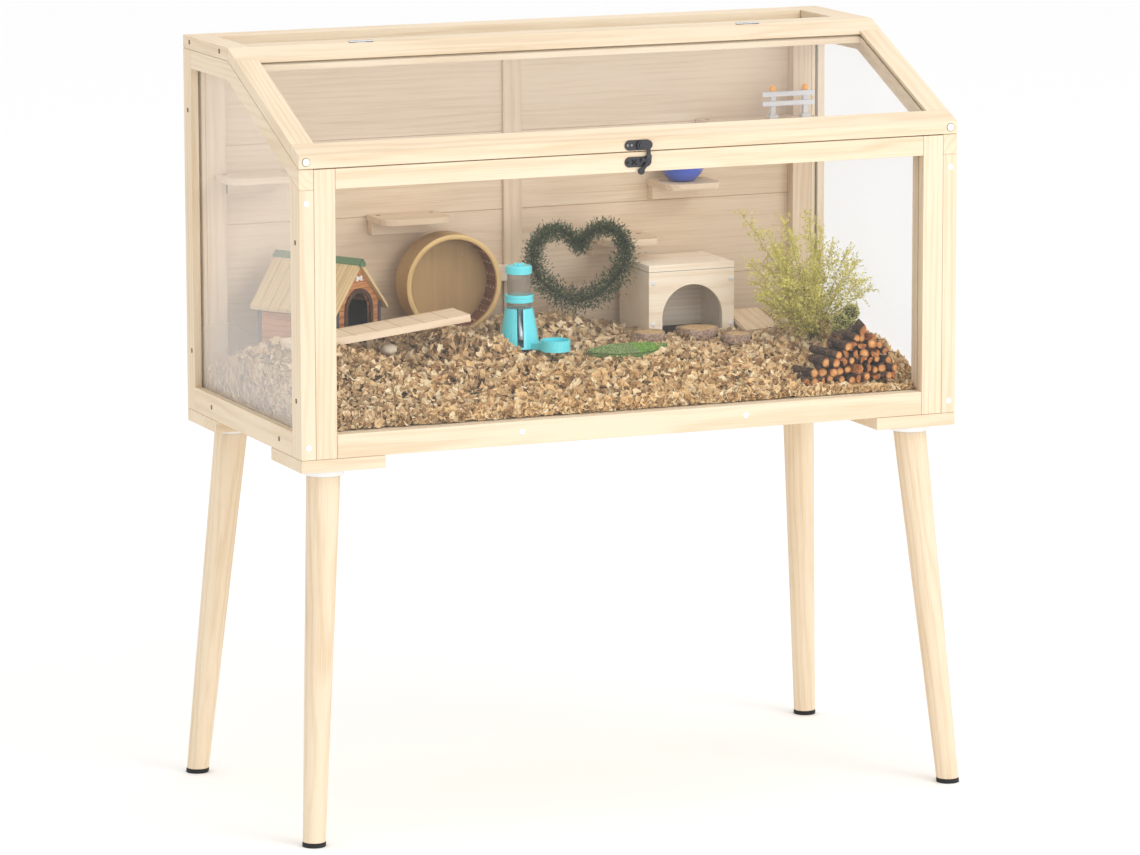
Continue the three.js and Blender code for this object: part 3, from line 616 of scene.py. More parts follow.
def leaf_piece(name, leaves, material, rng):
    """One mesh of small pointed leaves from (base, direction, length, width) in millimetres."""
    bases, ways = (np.array([leaf[part] for leaf in leaves], float) for part in (0, 1))
    lengths, widths = (np.array([leaf[part] for leaf in leaves])[:, None] for part in (2, 3))
    ways /= np.linalg.norm(ways, axis=1)[:, None]
    sides = np.cross(ways, rng.normal(size=ways.shape))
    sides /= np.linalg.norm(sides, axis=1)[:, None]
    middles = bases + ways * lengths * 0.45
    tips = bases + ways * lengths
    corners = [bases, middles + sides * widths / 2, tips, middles - sides * widths / 2]
    points = np.stack(corners, axis=1).reshape(-1, 3)
    points = np.clip(points, (-483.0, -217.0, 560.0), (483.0, 218.0, 940.0)) * MM
    faces = np.arange(len(points)).reshape(-1, 4).tolist()
    made = new_object(name, points.tolist(), faces, [material])
    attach(made, "root")
    return made


# ---- Plants ----
HEART_HALF = (
    (0, 757), (10, 772), (27, 783), (47, 783), (64, 774), (74, 757), (73, 736), (63, 715), (44, 697),
    (22, 684), (0, 677),
)


def heart_point(angle):
    """A point on the wreath's heart, which stands facing the front. 0 is its notch."""
    share = (angle % FULL_TURN) / FULL_TURN * 2
    side = 1 if share <= 1 else -1
    share = share if share <= 1 else 2 - share
    place = share * (len(HEART_HALF) - 1)
    index = min(int(place), len(HEART_HALF) - 2)
    part = place - index
    (x0, z0), (x1, z1) = HEART_HALF[index], HEART_HALF[index + 1]
    return Vector((70 + side * (x0 + (x1 - x0) * part), 131, z0 + (z1 - z0) * part))


def wreath_vine():
    """Three thin strands twisted along the heart."""
    steps, strands, twists = 90, 3, 9
    vine = Shape()
    for strand in range(strands):
        path = []
        for step in range(steps + 1):
            angle = FULL_TURN * step / steps
            twist = twists * angle + strand * FULL_TURN / strands
            path.append(heart_point(angle) + Vector((2.2 * math.cos(twist), 2.2 * math.sin(twist), 0)))
        vine.tube(path, 1.1, 6)
    vine.piece("wreath_vine", [plain("vine", tone(70, 66, 48), 0.8)], smooth=True)


def wreath():
    wreath_vine()
    rng = np.random.default_rng(11)
    leaves = []
    for _ in range(12000):
        angle = rng.uniform(0, FULL_TURN)
        at_foot = abs(angle % FULL_TURN - math.pi) < 1.4
        outward = rng.normal(size=3) * (5.4, 5.0, 5.4) * (1.35 if at_foot else 0.95)
        base = np.array(heart_point(angle)) + outward
        way = outward + rng.normal(size=3) * 4 + np.array((0, 0, 3.0))
        leaves.append((base, way, rng.uniform(3.6, 7.2), rng.uniform(1.0, 2.0)))
    shade = leafy("wreath leaf", tone(42, 58, 34), tone(108, 124, 86))
    leaf_piece("wreath_leaves", leaves, shade, rng)


# How far each stem of the fern reaches from its root.
FERN_STEMS = (
    (-112, -10, 118), (-100, 40, 176), (-84, 10, 92), (-78, -30, 142), (-66, 30, 160),
    (-52, -20, 176), (-40, 34, 120), (-30, 0, 152), (-16, -34, 118), (-8, 26, 180),
    (4, -10, 150), (12, 20, 122), (20, -30, 136), (26, 0, 158), (36, -44, 112),
    (44, -26, 134), (50, -60, 94), (58, -10, 118), (62, -48, 80), (-96, -36, 78),
    (-60, -58, 96), (-24, -66, 78), (-90, 6, 66), (-72, 20, 112), (-56, -8, 130),
    (-44, -44, 58), (-46, 10, 86), (-28, -36, 100),
)


def fern_twigs(root, reach, rng):
    """The leaves of one stem, set along side twigs that get shorter to its tip."""
    length = np.linalg.norm(reach)
    twigs, leaves_on_each = 52, 14
    leaves = []
    for twig in range(twigs):
        share = 0.16 + 0.84 * twig / (twigs - 1)
        start = root + reach * share + arched(length, share)
        way = reach / length + rng.normal(size=3) * 0.75
        way /= np.linalg.norm(way)
        extent = (44 - 26 * share) * rng.uniform(0.6, 1.1)
        for place in np.linspace(0.1, 1.0, leaves_on_each):
            spot = start + way * extent * place + rng.normal(size=3) * 0.7
            outward = way + rng.normal(size=3) * 0.8
            leaves.append((spot, outward, rng.uniform(2.6, 4.8), rng.uniform(1.4, 2.5)))
    return leaves


def arched(length, share):
    """How far a stem rises above the straight line to its tip."""
    return np.array((0, 0, 0.22 * length * share * (1 - share)))


def fern():
    """A feathery fern: thin stems that lean out, side twigs and very small leaves."""
    rng = np.random.default_rng(23)
    stems = Shape()
    leaves = []
    root = np.array((392.0, 8.0, 620.0))
    steps = 8
    for stem in FERN_STEMS:
        reach = np.array(stem, float) + rng.normal(size=3) * 5
        length = np.linalg.norm(reach)
        path = []
        for step in range(steps + 1):
            share = step / steps
            path.append(root + reach * share + arched(length, share) + rng.normal(size=3) * 0.6)
        stems.tube(path, [0.75 * (1 - 0.08 * step) for step in range(steps + 1)], 5)
        leaves += fern_twigs(root, reach, rng)
    stems.piece("fern_stems", [plain("fern stem", tone(168, 164, 92), 0.7)], smooth=True)
    shade = leafy("fern leaf", tone(196, 188, 78), tone(255, 246, 158))
    leaf_piece("fern_leaves", leaves, shade, rng)


def round_bushes():
    rng = np.random.default_rng(31)
    bushes = (((424, -48, 665), 14), ((402, -58, 655), 13), ((391, -72, 642), 12), ((418, -66, 645), 13))
    leaves = []
    cores = Shape()
    for middle, radius in bushes:
        cores.lathe(ball(radius - 2.5, radius - 2.5, 10, 0.0), middle, sides=20)
        for _ in range(900):
            outward = rng.normal(size=3)
            outward /= np.linalg.norm(outward)
            way = outward + rng.normal(size=3) * 0.8
            base = np.array(middle) + outward * (radius - 3 + rng.uniform(-0.5, 1.2))
            leaves.append((base, way, rng.uniform(1.8, 3.4), rng.uniform(1.2, 2.2)))
    cores.piece("bush_cores", [plain("bush core", tone(60, 66, 34), 0.9)], smooth=True)
    shade = leafy("bush leaf", tone(184, 180, 96), tone(242, 238, 166))
    leaf_piece("bush_leaves", leaves, shade, rng)


def mat_point(share, side):
    """A point of the moss mat: share runs along it from -1 to 1, side across it."""
    middle, half_length, half_width = np.array((86.0, -12.0)), 64.0, 23.0
    ahead = np.array((math.cos(0.05), math.sin(0.05)))
    across = np.array((-ahead[1], ahead[0]))
    return middle + ahead * half_length * share + across * half_width * side


def mat_width(share):
    """How wide the moss mat is there, from 0 at its tips to 1 at its middle."""
    return (1 - share * share) ** 0.75


def moss_mat():
    """A leaf-shaped mat of short green tufts, lighter at its right end."""
    rng = np.random.default_rng(37)
    places = np.linspace(-1, 1, 25)
    rim = [mat_point(share, mat_width(share)) for share in places]
    rim += [mat_point(share, -mat_width(share)) for share in places[-2:0:-1]]
    count = len(rim)
    low, high = ([(x, y, float(bedding_height(x, y)) + lift) for x, y in rim] for lift in (-3.0, 4.0))
    walls = [(i, (i + 1) % count, (i + 1) % count + count, i + count) for i in range(count)]
    mat = Shape()
    mat.add(low + high, walls + [tuple(range(count)), tuple(range(2 * count - 1, count - 1, -1))])
    mat.piece("moss_mat_base", [plain("moss base", tone(112, 142, 78), 0.95)])
    dull, bright = [], []
    for _ in range(5200):
        share = rng.uniform(-1, 1)
        spot = mat_point(share, rng.uniform(-1, 1) * mat_width(share))
        base = (spot[0], spot[1], float(bedding_height(*spot)) + 5.0)
        way = (rng.normal() * 0.7, rng.normal() * 0.7, 1.0)
        group = bright if 0.15 < share < 0.85 and rng.uniform() < 0.55 else dull
        group.append((base, way, rng.uniform(2.5, 5.0), rng.uniform(1.0, 1.8)))
    shade = leafy("moss dull", tone(142, 168, 104), tone(206, 222, 160))
    leaf_piece("moss_mat_dull", dull, shade, rng)
    shade = leafy("moss bright", tone(118, 190, 48), tone(184, 236, 104))
    leaf_piece("moss_mat_bright", bright, shade, rng)


# ---- Kennel ----
def pointing(origin, ahead):
    """Turns a piece so that its -Y looks along a level direction from an origin."""
    ahead = Vector(ahead).normalized()
    across = Vector((-ahead.y, ahead.x, 0))
    columns = (across, -ahead, Vector(UP), Vector(origin))
    return Matrix([[column[row] for column in columns] for row in range(3)] + [[0, 0, 0, 1]])


KENNEL_AHEAD = (88, -146, 0)
KENNEL_ASIDE = (146, 88, 0)
HOUSE = SimpleNamespace(
    turn=pointing((-301, 49, 0), KENNEL_AHEAD), ridge=771.0, eave=700.0, half_roof=61.0, depth=156.0,
    half_wall=50.0, base=645.0, board=5.0, strip=9.4, door_half=26.0, door_spring=698.0, wall=4.0,
)
HOUSE.slope = (HOUSE.ridge - HOUSE.eave) / HOUSE.half_roof
HOUSE.drop = HOUSE.board * math.hypot(1, HOUSE.slope)  # the roof's thickness, measured upright
HOUSE.under = HOUSE.ridge - HOUSE.drop
HOUSE.wall_top = HOUSE.under - HOUSE.half_wall * HOUSE.slope
HOUSE.rear = HOUSE.depth - 10


def kennel_roof(roofs):
    planks = 9
    pitch = HOUSE.depth / planks
    for index in range(planks):
        lift = 0.5 * ((index * 7) % 3) / 2
        ridge, eave = HOUSE.ridge + lift, HOUSE.eave + lift
        for sign, side in zip(BOTH_SIDES, ("left", "right")):
            edge = sign * HOUSE.half_roof
            outline = [(0, ridge), (edge, eave), (edge, eave - HOUSE.drop * 0.75), (0, ridge - HOUSE.drop)]
            plank = Shape(HOUSE.turn)
            plank.prism(outline, index * pitch + 0.4, (index + 1) * pitch - 0.4)
            plank.piece(f"kennel_{side}_roof_board_{index}", [roofs[sign]], bevel=0.4)


def kennel_ridge_cap(green):
    """A folded strip over the ridge, turned down in front."""
    cap = Shape(HOUSE.turn)
    fold, top = 6.5, HOUSE.ridge + 2.8
    edge = top - fold * HOUSE.slope
    for sign in BOTH_SIDES:
        corner = (sign * fold, edge)
        strip = [(0, top), corner, (sign * fold, edge - 2.6), (0, top - 3)]
        cap.prism(strip, -3.0, HOUSE.depth + 2)
        cap.prism([(0, top), corner, (sign * 5, edge - 5), (0, top - 11)], -3.0, -0.6)
    cap.piece("kennel_ridge_cap", [green], bevel=0.5)


def kennel_front(siding):
    """Level strips, cut to the roof's slope and to the arched doorway."""
    front = Shape(HOUSE.turn)
    level = HOUSE.base
    while level < HOUSE.under - 6:
        top = level + HOUSE.strip
        edges = []
        for z in (level, top - 0.5):
            reach = min(HOUSE.half_wall, (HOUSE.under - z) / HOUSE.slope)
            rise = max(0.0, z - HOUSE.door_spring)
            opening = math.sqrt(HOUSE.door_half**2 - rise**2) if rise < HOUSE.door_half else 0.0
            edges.append((z, opening, max(reach, opening + 0.5)))
        (z0, near0, far0), (z1, near1, far1) = edges
        for sign in BOTH_SIDES:
            outline = [(sign * near0, z0), (sign * far0, z0), (sign * far1, z1), (sign * near1, z1)]
            front.prism(outline, 7.0, 11.0)
        level = top
    front.piece("kennel_front_siding", [siding], bevel=0.5)


def arch(half):
    """A doorway's outline at half its width: up one side, round the arch and down."""
    angles = [math.pi - math.pi * step / 16 for step in range(17)]
    curve = [(half * math.cos(a), HOUSE.door_spring + half * math.sin(a)) for a in angles]
    return [(-half, HOUSE.base), *curve, (half, HOUSE.base)]


def kennel_door_frame(trim):
    door_frame = Shape(HOUSE.turn)
    inner, outer = arch(HOUSE.door_half), arch(HOUSE.door_half + 6)
    for i in range(len(inner) - 1):
        door_frame.prism([inner[i], inner[i + 1], outer[i + 1], outer[i]], 4.6, 9.0)
    door_frame.piece("kennel_door_frame", [trim])


def kennel_walls(siding, black):
    """Level strips on both sides, and a dark lining inside them, painted as the shade inside the kennel."""
    walls, lining = Shape(HOUSE.turn), Shape(HOUSE.turn)
    half, inside = HOUSE.half_wall, HOUSE.half_wall - HOUSE.wall
    for sign in BOTH_SIDES:
        level = HOUSE.base
        low, high = sorted((sign * half, sign * inside))
        while level < HOUSE.wall_top:
            top = min(level + HOUSE.strip, HOUSE.wall_top)
            walls.box((low, 11.5, level), (high, HOUSE.rear, top - 0.5))
            level += HOUSE.strip
        low, high = sorted((sign * (inside - 0.2), sign * (inside - 1.2)))
        lining.box((low, 11.6, HOUSE.base), (high, HOUSE.rear, HOUSE.wall_top))
    walls.piece("kennel_side_siding", [siding], bevel=0.5)
    lining.piece("kennel_lining", [black])


def kennel_back(black):
    """The rear gable and the floor, both painted dark as the shade inside the kennel."""
    back = Shape(HOUSE.turn)
    half, base, wall_top = HOUSE.half_wall, HOUSE.base, HOUSE.wall_top
    gable = [(-half, base), (half, base), (half, wall_top), (0, HOUSE.under), (-half, wall_top)]
    back.prism(gable, HOUSE.rear + 0.5, HOUSE.rear + 4)
    back.box((-half + HOUSE.wall, 12, 654), (half - HOUSE.wall, HOUSE.rear, 656))
    back.piece("kennel_back_wall", [black])


def kennel_posts():
    posts = Shape(HOUSE.turn)
    for x in (-HOUSE.half_wall - 1, HOUSE.half_wall - 5):
        for y in (5.5, HOUSE.rear - 2):
            posts.box((x, y, HOUSE.base), (x + 6, y + 6.5, HOUSE.wall_top + 1))
    posts.piece("kennel_corner_posts", [plain("kennel posts", tone(88, 84, 92), 0.7)], bevel=0.6)


def kennel_badge():
    """A small bone over the door."""
    badge = Shape(HOUSE.turn)
    knob = [(0, -1.4), (2.3, -1.4), (2.5, -0.4), (2.5, 1.2)]
    for x in (-4.6, 4.6):
        for z in (742.8, 746.4):
            badge.lathe(knob, (x, 5.6, z), (0, 1, 0), 14)
    badge.box((-4.8, 4.3, 742.6), (4.8, 6.8, 746.6))
    badge.piece("kennel_badge", [plain("white enamel", tone(240, 240, 236), 0.4)])


def kennel():
    cedar = (tone(208, 144, 94), tone(156, 98, 58))
    straw = (tone(220, 194, 148), tone(188, 158, 114))
    middle = (-0.28, 0.1, 0.7)
    front_siding = wood("kennel front wood", cedar, 301, KENNEL_ASIDE, middle, rings=0.5)
    side_siding = wood("kennel side wood", cedar, 305, KENNEL_AHEAD, middle, rings=0.5)
    # The kennel's inside (lining, rear gable and floor) is painted near black as its shade.
    black = plain("kennel shade", tone(38, 32, 30), 0.95)
    look = {"rings": 0.45, "period": 0.006, "fibres": 1.1}
    ahead = Vector(KENNEL_AHEAD).normalized()
    roofs = {}
    for sign in BOTH_SIDES:
        fall = Vector((-sign * ahead.y * 0.66, sign * ahead.x * 0.66, -0.75))
        roofs[sign] = wood(f"kennel roof {sign}", straw, 302 + sign, fall, (-0.34, 0.12, 0.72), **look)
    kennel_roof(roofs)
    kennel_ridge_cap(plain("kennel green", tone(104, 132, 94), 0.6))
    kennel_front(front_siding)
    kennel_door_frame(plain("kennel trim", tone(84, 56, 38), 0.6))
    kennel_walls(side_siding, black)
    kennel_back(black)
    kennel_posts()
    kennel_badge()


# ---- Other wooden furnishings ----
def scored_plank():
    """The gangplank in front of the kennel, scored across its top for grip."""
    tilt = math.atan2(22, 202)
    end = Vector((-176, -34, 700))
    shape = Shape(Matrix.Translation(end) @ Matrix.Rotation(-tilt, 4, "Y"))
    length, thickness = 264, 10
    groove_pitch = 35.0
    grooves = [-number * groove_pitch for number in range(1, 8)]
    outline = [(0, -thickness), (0, 0)]
    for x in grooves:
        outline += [(x + 0.8, 0), (x, -1.3), (x - 0.8, 0)]
    outline += [(-length, 0), (-length, -thickness)]
    shape.prism(outline, -20, 48)
    for x in grooves:
        shape.box((x - 0.55, -19.5, -0.9), (x + 0.55, 47.5, -0.3), 1)
    shades = (tone(240, 220, 192), tone(204, 170, 130))
    look = {"rings": 0.5, "period": 0.008}
    pale = wood("plank wood", shades, 311, (1, 0, 0.1), (-0.27, 0.01, 0.68), **look)
    shape.piece("gangplank", [pale, plain("groove shade", tone(176, 144, 110), 0.9)])


def small_ramp():
    """A thin board on the bedding beside the nest box. It rises to the back."""
    top = [Vector(point) for point in ((304, 56, 632), (362, 60, 632), (356, 128, 652), (304, 128, 652))]
    down = (top[3] - top[0]).cross(top[1] - top[0]).normalized()
    shape = Shape()
    sides = [(0, 1, 2, 3), (7, 6, 5, 4)]
    sides += [(i, i + 4, (i + 1) % 4 + 4, (i + 1) % 4) for i in range(4)]
    shape.add(top + [corner + down * 7 for corner in top], sides)
    shades = (tone(238, 216, 184), tone(200, 164, 122))
    pale = wood("ramp wood", shades, 312, (0, 1, 0.2), (0.32, 0.09, 0.64))
    shape.piece("small_ramp", [pale], bevel=0.5)


def bark_material(name, dark, light, warp_scale):
    """Furrowed bark: dark and light strips along the log."""
    shader = Shader(name, {"Roughness": 0.9, "Specular IOR Level": 0.2})
    warp = shader.noise(shader.here(), warp_scale, 4.0)
    share = shader.times(warp, shader.cells(shader.here(), 260.0))
    shader.colour(shader.mix(shader.step(share, 0.05, 0.45), dark, light))
    shader.bump(share, 0.7, 0.003)
    return shader.material


def cut_end(name, rim, heart):
    """A sawn log end: uneven colour with fine pores."""
    shader = Shader(name, {"Roughness": 0.7, "Specular IOR Level": 0.25})
    grain = shader.noise(shader.here(), 180.0, 4.0)
    fine = shader.noise(shader.here(), 1300.0, 2.0)
    shade = shader.mix(shader.step(grain, 0.3, 0.75), rim, heart)
    shader.colour(shader.mix(shader.times(fine, 0.4), shade, dimmed(rim, 0.6)))
    shader.bump(fine, 0.3, 0.0006)
    return shader.material


def wood_slices():
    """Thick discs sawn from a branch, bark round their sides."""
    bark = bark_material("slice bark", tone(140, 116, 98), tone(186, 160, 140), 63.0)
    top = cut_end("slice top", tone(196, 158, 112), tone(226, 196, 150))
    for number, (x, y, radius, thick) in enumerate(((146, 52, 25, 13), (228, 62, 31, 15), (266, 6, 22, 13))):

        def wobble(angle, ring, number=number):
            return 1 + 0.03 * math.sin(3 * angle + number) + 0.02 * math.sin(7 * angle + 2 * number)

        centre = (x, y, float(bedding_height(x, y)) + 12)
        shape = Shape()
        side = [(radius * 0.96, -thick), (radius, -thick + 2), (radius, -2), (radius * 0.97, 0)]
        shape.lathe(side, centre, sides=40, wobble=wobble)
        face = [(radius * 0.965, 0.05), (radius * 0.6, 0.35), (0.01, 0.3)]
        shape.lathe(face, centre, sides=40, slot=1, wobble=wobble)
        shape.piece(f"wood_slice_{number}", [bark, top], smooth=True)


def split_log(shape, start, along, radius, sweep, spin, rng):
    """A log or a split part of one: bark (slot 0), cut wood (slot 1) and paler heart (slot 2)."""
    start, along = Vector(start), Vector(along)
    ahead = along.normalized()
    across = ahead.cross(Vector(UP)).normalized()
    upward = across.cross(ahead)
    steps = 14
    whole = sweep > 6.2
    rim = []
    for step in range(steps if whole else steps + 1):
        angle = spin + sweep * step / steps
        spread = radius * (1 + 0.05 * rng.uniform(-1, 1))
        rim.append(across * math.cos(angle) * spread + upward * math.sin(angle) * spread)
    if not whole:
        rim.append(across * 0.0)
    count = len(rim)
    far_end = start + ahead * along.length
    points = [start + offset for offset in rim] + [far_end + offset * 0.95 for offset in rim]
    sides = [(i, (i + 1) % count, (i + 1) % count + count, i + count) for i in range(count)]
    front_end = tuple(range(count - 1, -1, -1))
    faces = sides + [front_end, tuple(range(count, 2 * count))]
    bark_sides = count if whole else count - 2
    shape.add(points, faces)
    shape.slots[-len(faces):] = [0] * bark_sides + [1] * (len(faces) - bark_sides)
    if whole:
        heart = [start - ahead * 0.25 + offset * 0.66 for offset in rim]
        shape.add(heart, [front_end], 2)


# The log pile's rows: (height, left end, right end, number of logs).
LOG_ROWS = (
    (594, 276, 432, 11), (605, 292, 430, 10), (616, 316, 427, 8), (627, 334, 423, 6),
    (638, 350, 417, 5), (649, 366, 408, 3),
)
# Logs laid across the pile: (start, way, radius).
CROSS_LOGS = (
    ((366, -132, 641), (30, 2, 14), 8), ((343, -138, 634), (34, -6, 2), 6.5),
    ((350, -134, 621), (34, -8, 4), 7),
)


def log_pile():
    """Split firewood stacked by the right front corner, cut ends to the front."""
    rng = random.Random(41)
    shape = Shape()
    sweeps = (FULL_TURN, FULL_TURN, FULL_TURN, math.pi, 1.3 * math.pi)
    for z, x0, x1, count in LOG_ROWS:
        for index in range(count):
            x = x0 + (x1 - x0) * (index + 0.5) / count + rng.uniform(-3, 3)
            radius = rng.uniform(5.0, 7.2)
            front = -195 + (z - 595) * 0.45 + rng.uniform(-5, 7)
            way = (rng.uniform(-0.35, 0.35), 1, rng.uniform(-0.08, 0.08))
            along = Vector(way).normalized() * rng.uniform(46, 64)
            sweep = rng.choice(sweeps)
            start = (x, front, z + rng.uniform(-2, 2))
            split_log(shape, start, along, radius, sweep, rng.uniform(0, 6.3), rng)
    for start, along, radius in CROSS_LOGS:
        split_log(shape, start, along, radius, FULL_TURN, 0, rng)
    split_log(shape, (392, -172, 656), (14, 50, 2), 11, 0.6 * math.pi, 1.9, rng)
    bark = bark_material("log bark", tone(44, 34, 28), tone(104, 84, 68), 69.0)
    cut = cut_end("log end", tone(156, 90, 44), tone(216, 146, 82))
    heart = cut_end("log heart", tone(208, 142, 80), tone(246, 194, 128))
    shape.piece("log_pile", [bark, cut, heart], bevel=0.3)


def pebbles():
    stone = plain("pebble", tone(232, 218, 192), 0.75, speckle=0.18, grain=90.0)
    shape = Shape()
    spots = ((-291, -30, 654, 13, 8), (404, 108, 634, 9, 11), (424, 104, 636, 14, 12), (385, 96, 632, 8, 6))
    for number, (x, y, z, radius, height) in enumerate(spots):

        def wobble(angle, ring, number=number):
            return 1 + 0.09 * math.sin(2 * angle + number * 1.7) + 0.05 * math.sin(5 * angle + ring)

        shape.lathe(ball(radius, height, 12, 0.01), (x, y, z), sides=24, wobble=wobble)
    shape.piece("pebbles", [stone], smooth=True)


# ---- Shelf things ----
def blue_bowl():
    shape = Shape()
    profile = [
        (0.01, 840.6), (17, 840.6), (20, 842), (29, 852), (33, 860.5), (33.6, 862.5), (31.6, 862.8),
        (30.6, 861), (26.5, 853), (18, 845.5), (0.01, 844.5),
    ]
    shape.lathe(profile, (256, 181, 0), sides=48)
    glaze = plain("blue glaze", tone(74, 104, 205), 0.22, speckle=0.05, coat=0.5)
    shape.piece("blue_bowl", [glaze], smooth=True)


def little_fence():
    white = plain("white paint", tone(218, 219, 222), 0.45, speckle=0.04)
    orange = plain("orange paint", tone(255, 172, 36), 0.4, speckle=0.04)
    y = 180
    posts, caps = Shape(), Shape()
    for x in (402.0, 455.0):
        for half, low, high in ((7, 925.4, 931), (4, 931, 965.5), (5, 963.4, 966)):
            posts.box((x - half, y - half, low), (x + half, y + half, high))
        caps.lathe([(4.4, 966), (5, 967.4), (4.6, 971), (2.6, 974), (0.01, 975)], (x, y, 0), sides=24)
    for z in (944.5, 958.5):
        posts.box((383, y - 7.2, z), (468, y - 4.2, z + 7.2))
    posts.piece("fence_boards", [white], bevel=0.6)
    caps.piece("fence_caps", [orange], smooth=True)


# ---- Wheel, drinker and nest box ----
WHEEL_X, WHEEL_Z = -119.5, 710.8
WHEEL_MIDDLE = (-0.119, 0.17, 0.71)
DRUM_INSIDE = 66.9  # the radius at which the track starts
TRACK_BOARDS = 22


def wheel_point(radius, angle):
    return (WHEEL_X + radius * math.cos(angle), WHEEL_Z + radius * math.sin(angle))


def wheel_drum():
    shades = (tone(192, 158, 108), tone(154, 120, 78))
    dress("wheel_drum", wood("wheel ply", shades, 401, UP, WHEEL_MIDDLE, rings=0.12), 0.5)
    shades = (tone(226, 192, 132), tone(184, 146, 92))
    rim = wood("wheel rim", shades, 402, (0, 1, 0), (-0.119, 0.15, 0.71), rings=0.2)
    ring = Shape()
    profile = [(66.8, 149.9), (67.2, 149.2), (73.2, 149.2), (73.8, 149.9)]
    ring.lathe(profile, (WHEEL_X, 0, WHEEL_Z), (0, 1, 0), 96, open_ends=True)
    made = ring.piece("wheel_front_ring", [rim], "wheel", smooth=True)


def wheel_track():
    """Short brown boards round the drum's inside."""
    steps = 5
    track = Shape()
    for segment in range(TRACK_BOARDS):
        first = FULL_TURN * (segment + 0.04) / TRACK_BOARDS
        last = FULL_TURN * (segment + 0.96) / TRACK_BOARDS
        angles = [first + (last - first) * step / steps for step in range(steps + 1)]
        near, far = ([wheel_point(radius, a) for a in angles] for radius in (DRUM_INSIDE, 68.7))
        for i in range(steps):
            track.prism([near[i], near[i + 1], far[i + 1], far[i]], 155.6, 189.4)
    shades = (tone(150, 98, 64), tone(104, 62, 38))
    brown = wood("wheel track", shades, 403, (0, 1, 0), WHEEL_MIDDLE, rings=0.4)
    made = track.piece("wheel_track", [brown], "wheel")


def wheel_studs():
    """Three small studs in the middle of each track board."""
    studs = Shape()
    for segment in range(TRACK_BOARDS):
        angle = FULL_TURN * (segment + 0.5) / TRACK_BOARDS
        inward = (-math.cos(angle), 0, -math.sin(angle))
        x, z = wheel_point(DRUM_INSIDE, angle)
        for y in (161, 172.5, 184):
            studs.lathe([(1.9, 0), (1.7, 0.9), (0.9, 1.5), (0.01, 1.7)], (x, y, z), inward, 12)
    studs.piece("wheel_studs", [plain("track studs", tone(206, 178, 136), 0.6)], "wheel", smooth=True)


BOTTLE_X, BOTTLE_Y = -71, 20
BOTTLE_CENTRE = (BOTTLE_X, BOTTLE_Y, 0)
RING_PROFILE = [
    (17.2, 701.4), (20.2, 701.4), (21, 702.2), (21, 706.0), (20.5, 706.4), (20.5, 707.2),
    (21, 707.6), (21, 711.6), (20.2, 712.6), (17.2, 712.6),
]
CAP_PROFILE = [(16.9, 742.4), (18, 742.4), (18.6, 743.2), (18.6, 752.6), (17.4, 754.4), (0.01, 754.5)]


def bottle_ring_and_cap(cyan):
    """The ring round the bottle, and the ribbed screw cap with its small spout on top."""
    shape = Shape()
    shape.lathe(RING_PROFILE, BOTTLE_CENTRE, sides=64)
    shape.lathe(CAP_PROFILE, BOTTLE_CENTRE, sides=64)
    shape.tube([(BOTTLE_X, BOTTLE_Y, 754), (BOTTLE_X, BOTTLE_Y, 757)], 4.4, 24)
    for sign in BOTH_SIDES:
        x = BOTTLE_X + sign * 5.6
        shape.box((x - 1.8, BOTTLE_Y - 1.4, 754.2), (x + 1.8, BOTTLE_Y + 1.4, 758.2))
    for angle in around(28):
        x, y = BOTTLE_X + 18.4 * math.cos(angle), BOTTLE_Y + 18.4 * math.sin(angle)
        shape.tube([(x, y, 744.5), (x, y, 751.5)], 0.45, 6)
    made = shape.piece("bottle_ring_and_cap", [cyan], "bottle", bevel=0.25)


def smoked_bottle():
    smoked = Shader("smoked clear", {"Roughness": 0.06, "IOR": 1.45})
    streak = smoked.noise(smoked.stretch(smoked.here(), (8, 8, 1)), 12.0)
    smoked.colour(smoked.mix(streak, tone(120, 108, 96), tone(186, 174, 160)))
    facing = smoked.add("LayerWeight", {"Blend": 0.35}).outputs["Facing"]
    smoked.put(smoked.surface.inputs["Alpha"], smoked.plus(smoked.times(facing, 0.5), 0.42))
    bottle = Shape()
    for radius, low, high in ((17.8, 693.4, 701.4), (16.8, 712.6, 742.4)):
        bottle.lathe([(radius, low), (radius, high)], BOTTLE_CENTRE, sides=64, open_ends=True)
    made = bottle.piece("bottle_body", [smoked.material], "bottle", smooth=True)
    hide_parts("feeder_bottle")


def drinker():
    cyan = plain("cyan moulding", tone(102, 228, 240), 0.32, speckle=0.02, coat=0.3)
    dress("feeder_stand", cyan, 0.6)
    bottle_ring_and_cap(cyan)
    smoked_bottle()
    tube = Shape()
    path = [(-73, 14, 692), (-74.5, 9, 676), (-77, -2, 660), (-78.5, -6, 650)]
    tube.tube(path, [3.4, 3.2, 3.0, 2.6], 16)
    steel = plain("drinking tube", tone(214, 218, 224), 0.3, metallic=0.4)
    tube.piece("drinking_tube", [steel], "bottle", smooth=True)


def nest_details():
    """The joint lines of the nest box's roof board and its white screw caps."""
    line = plain("joint shadow", tone(120, 92, 62), 0.9)
    seams = Shape()
    seams.box((165.2, 94.75, 719.1), (302.1, 94.95, 719.7))
    seams.box((165.05, 94.75, 719.1), (165.25, 205, 719.7))
    seams.box((301.95, 94.75, 719.1), (302.2, 205, 719.7))
    seams.piece("nest_box_seams", [line])
    white = plain("white cap", tone(236, 238, 242), 0.3, speckle=0.03)
    caps = Shape()
    for x, z in ((172.5, 703), (296.8, 703), (172.5, 642), (296.8, 637)):
        cap_disc(caps, (x, 94.9, z), (0, -1, 0), 3.3)
    for x, y in ((182, 112), (285, 112), (182, 190), (285, 190)):
        cap_disc(caps, (x, y, 729.05), UP, 2.4)
    caps.piece("nest_box_caps", [white], smooth=True)


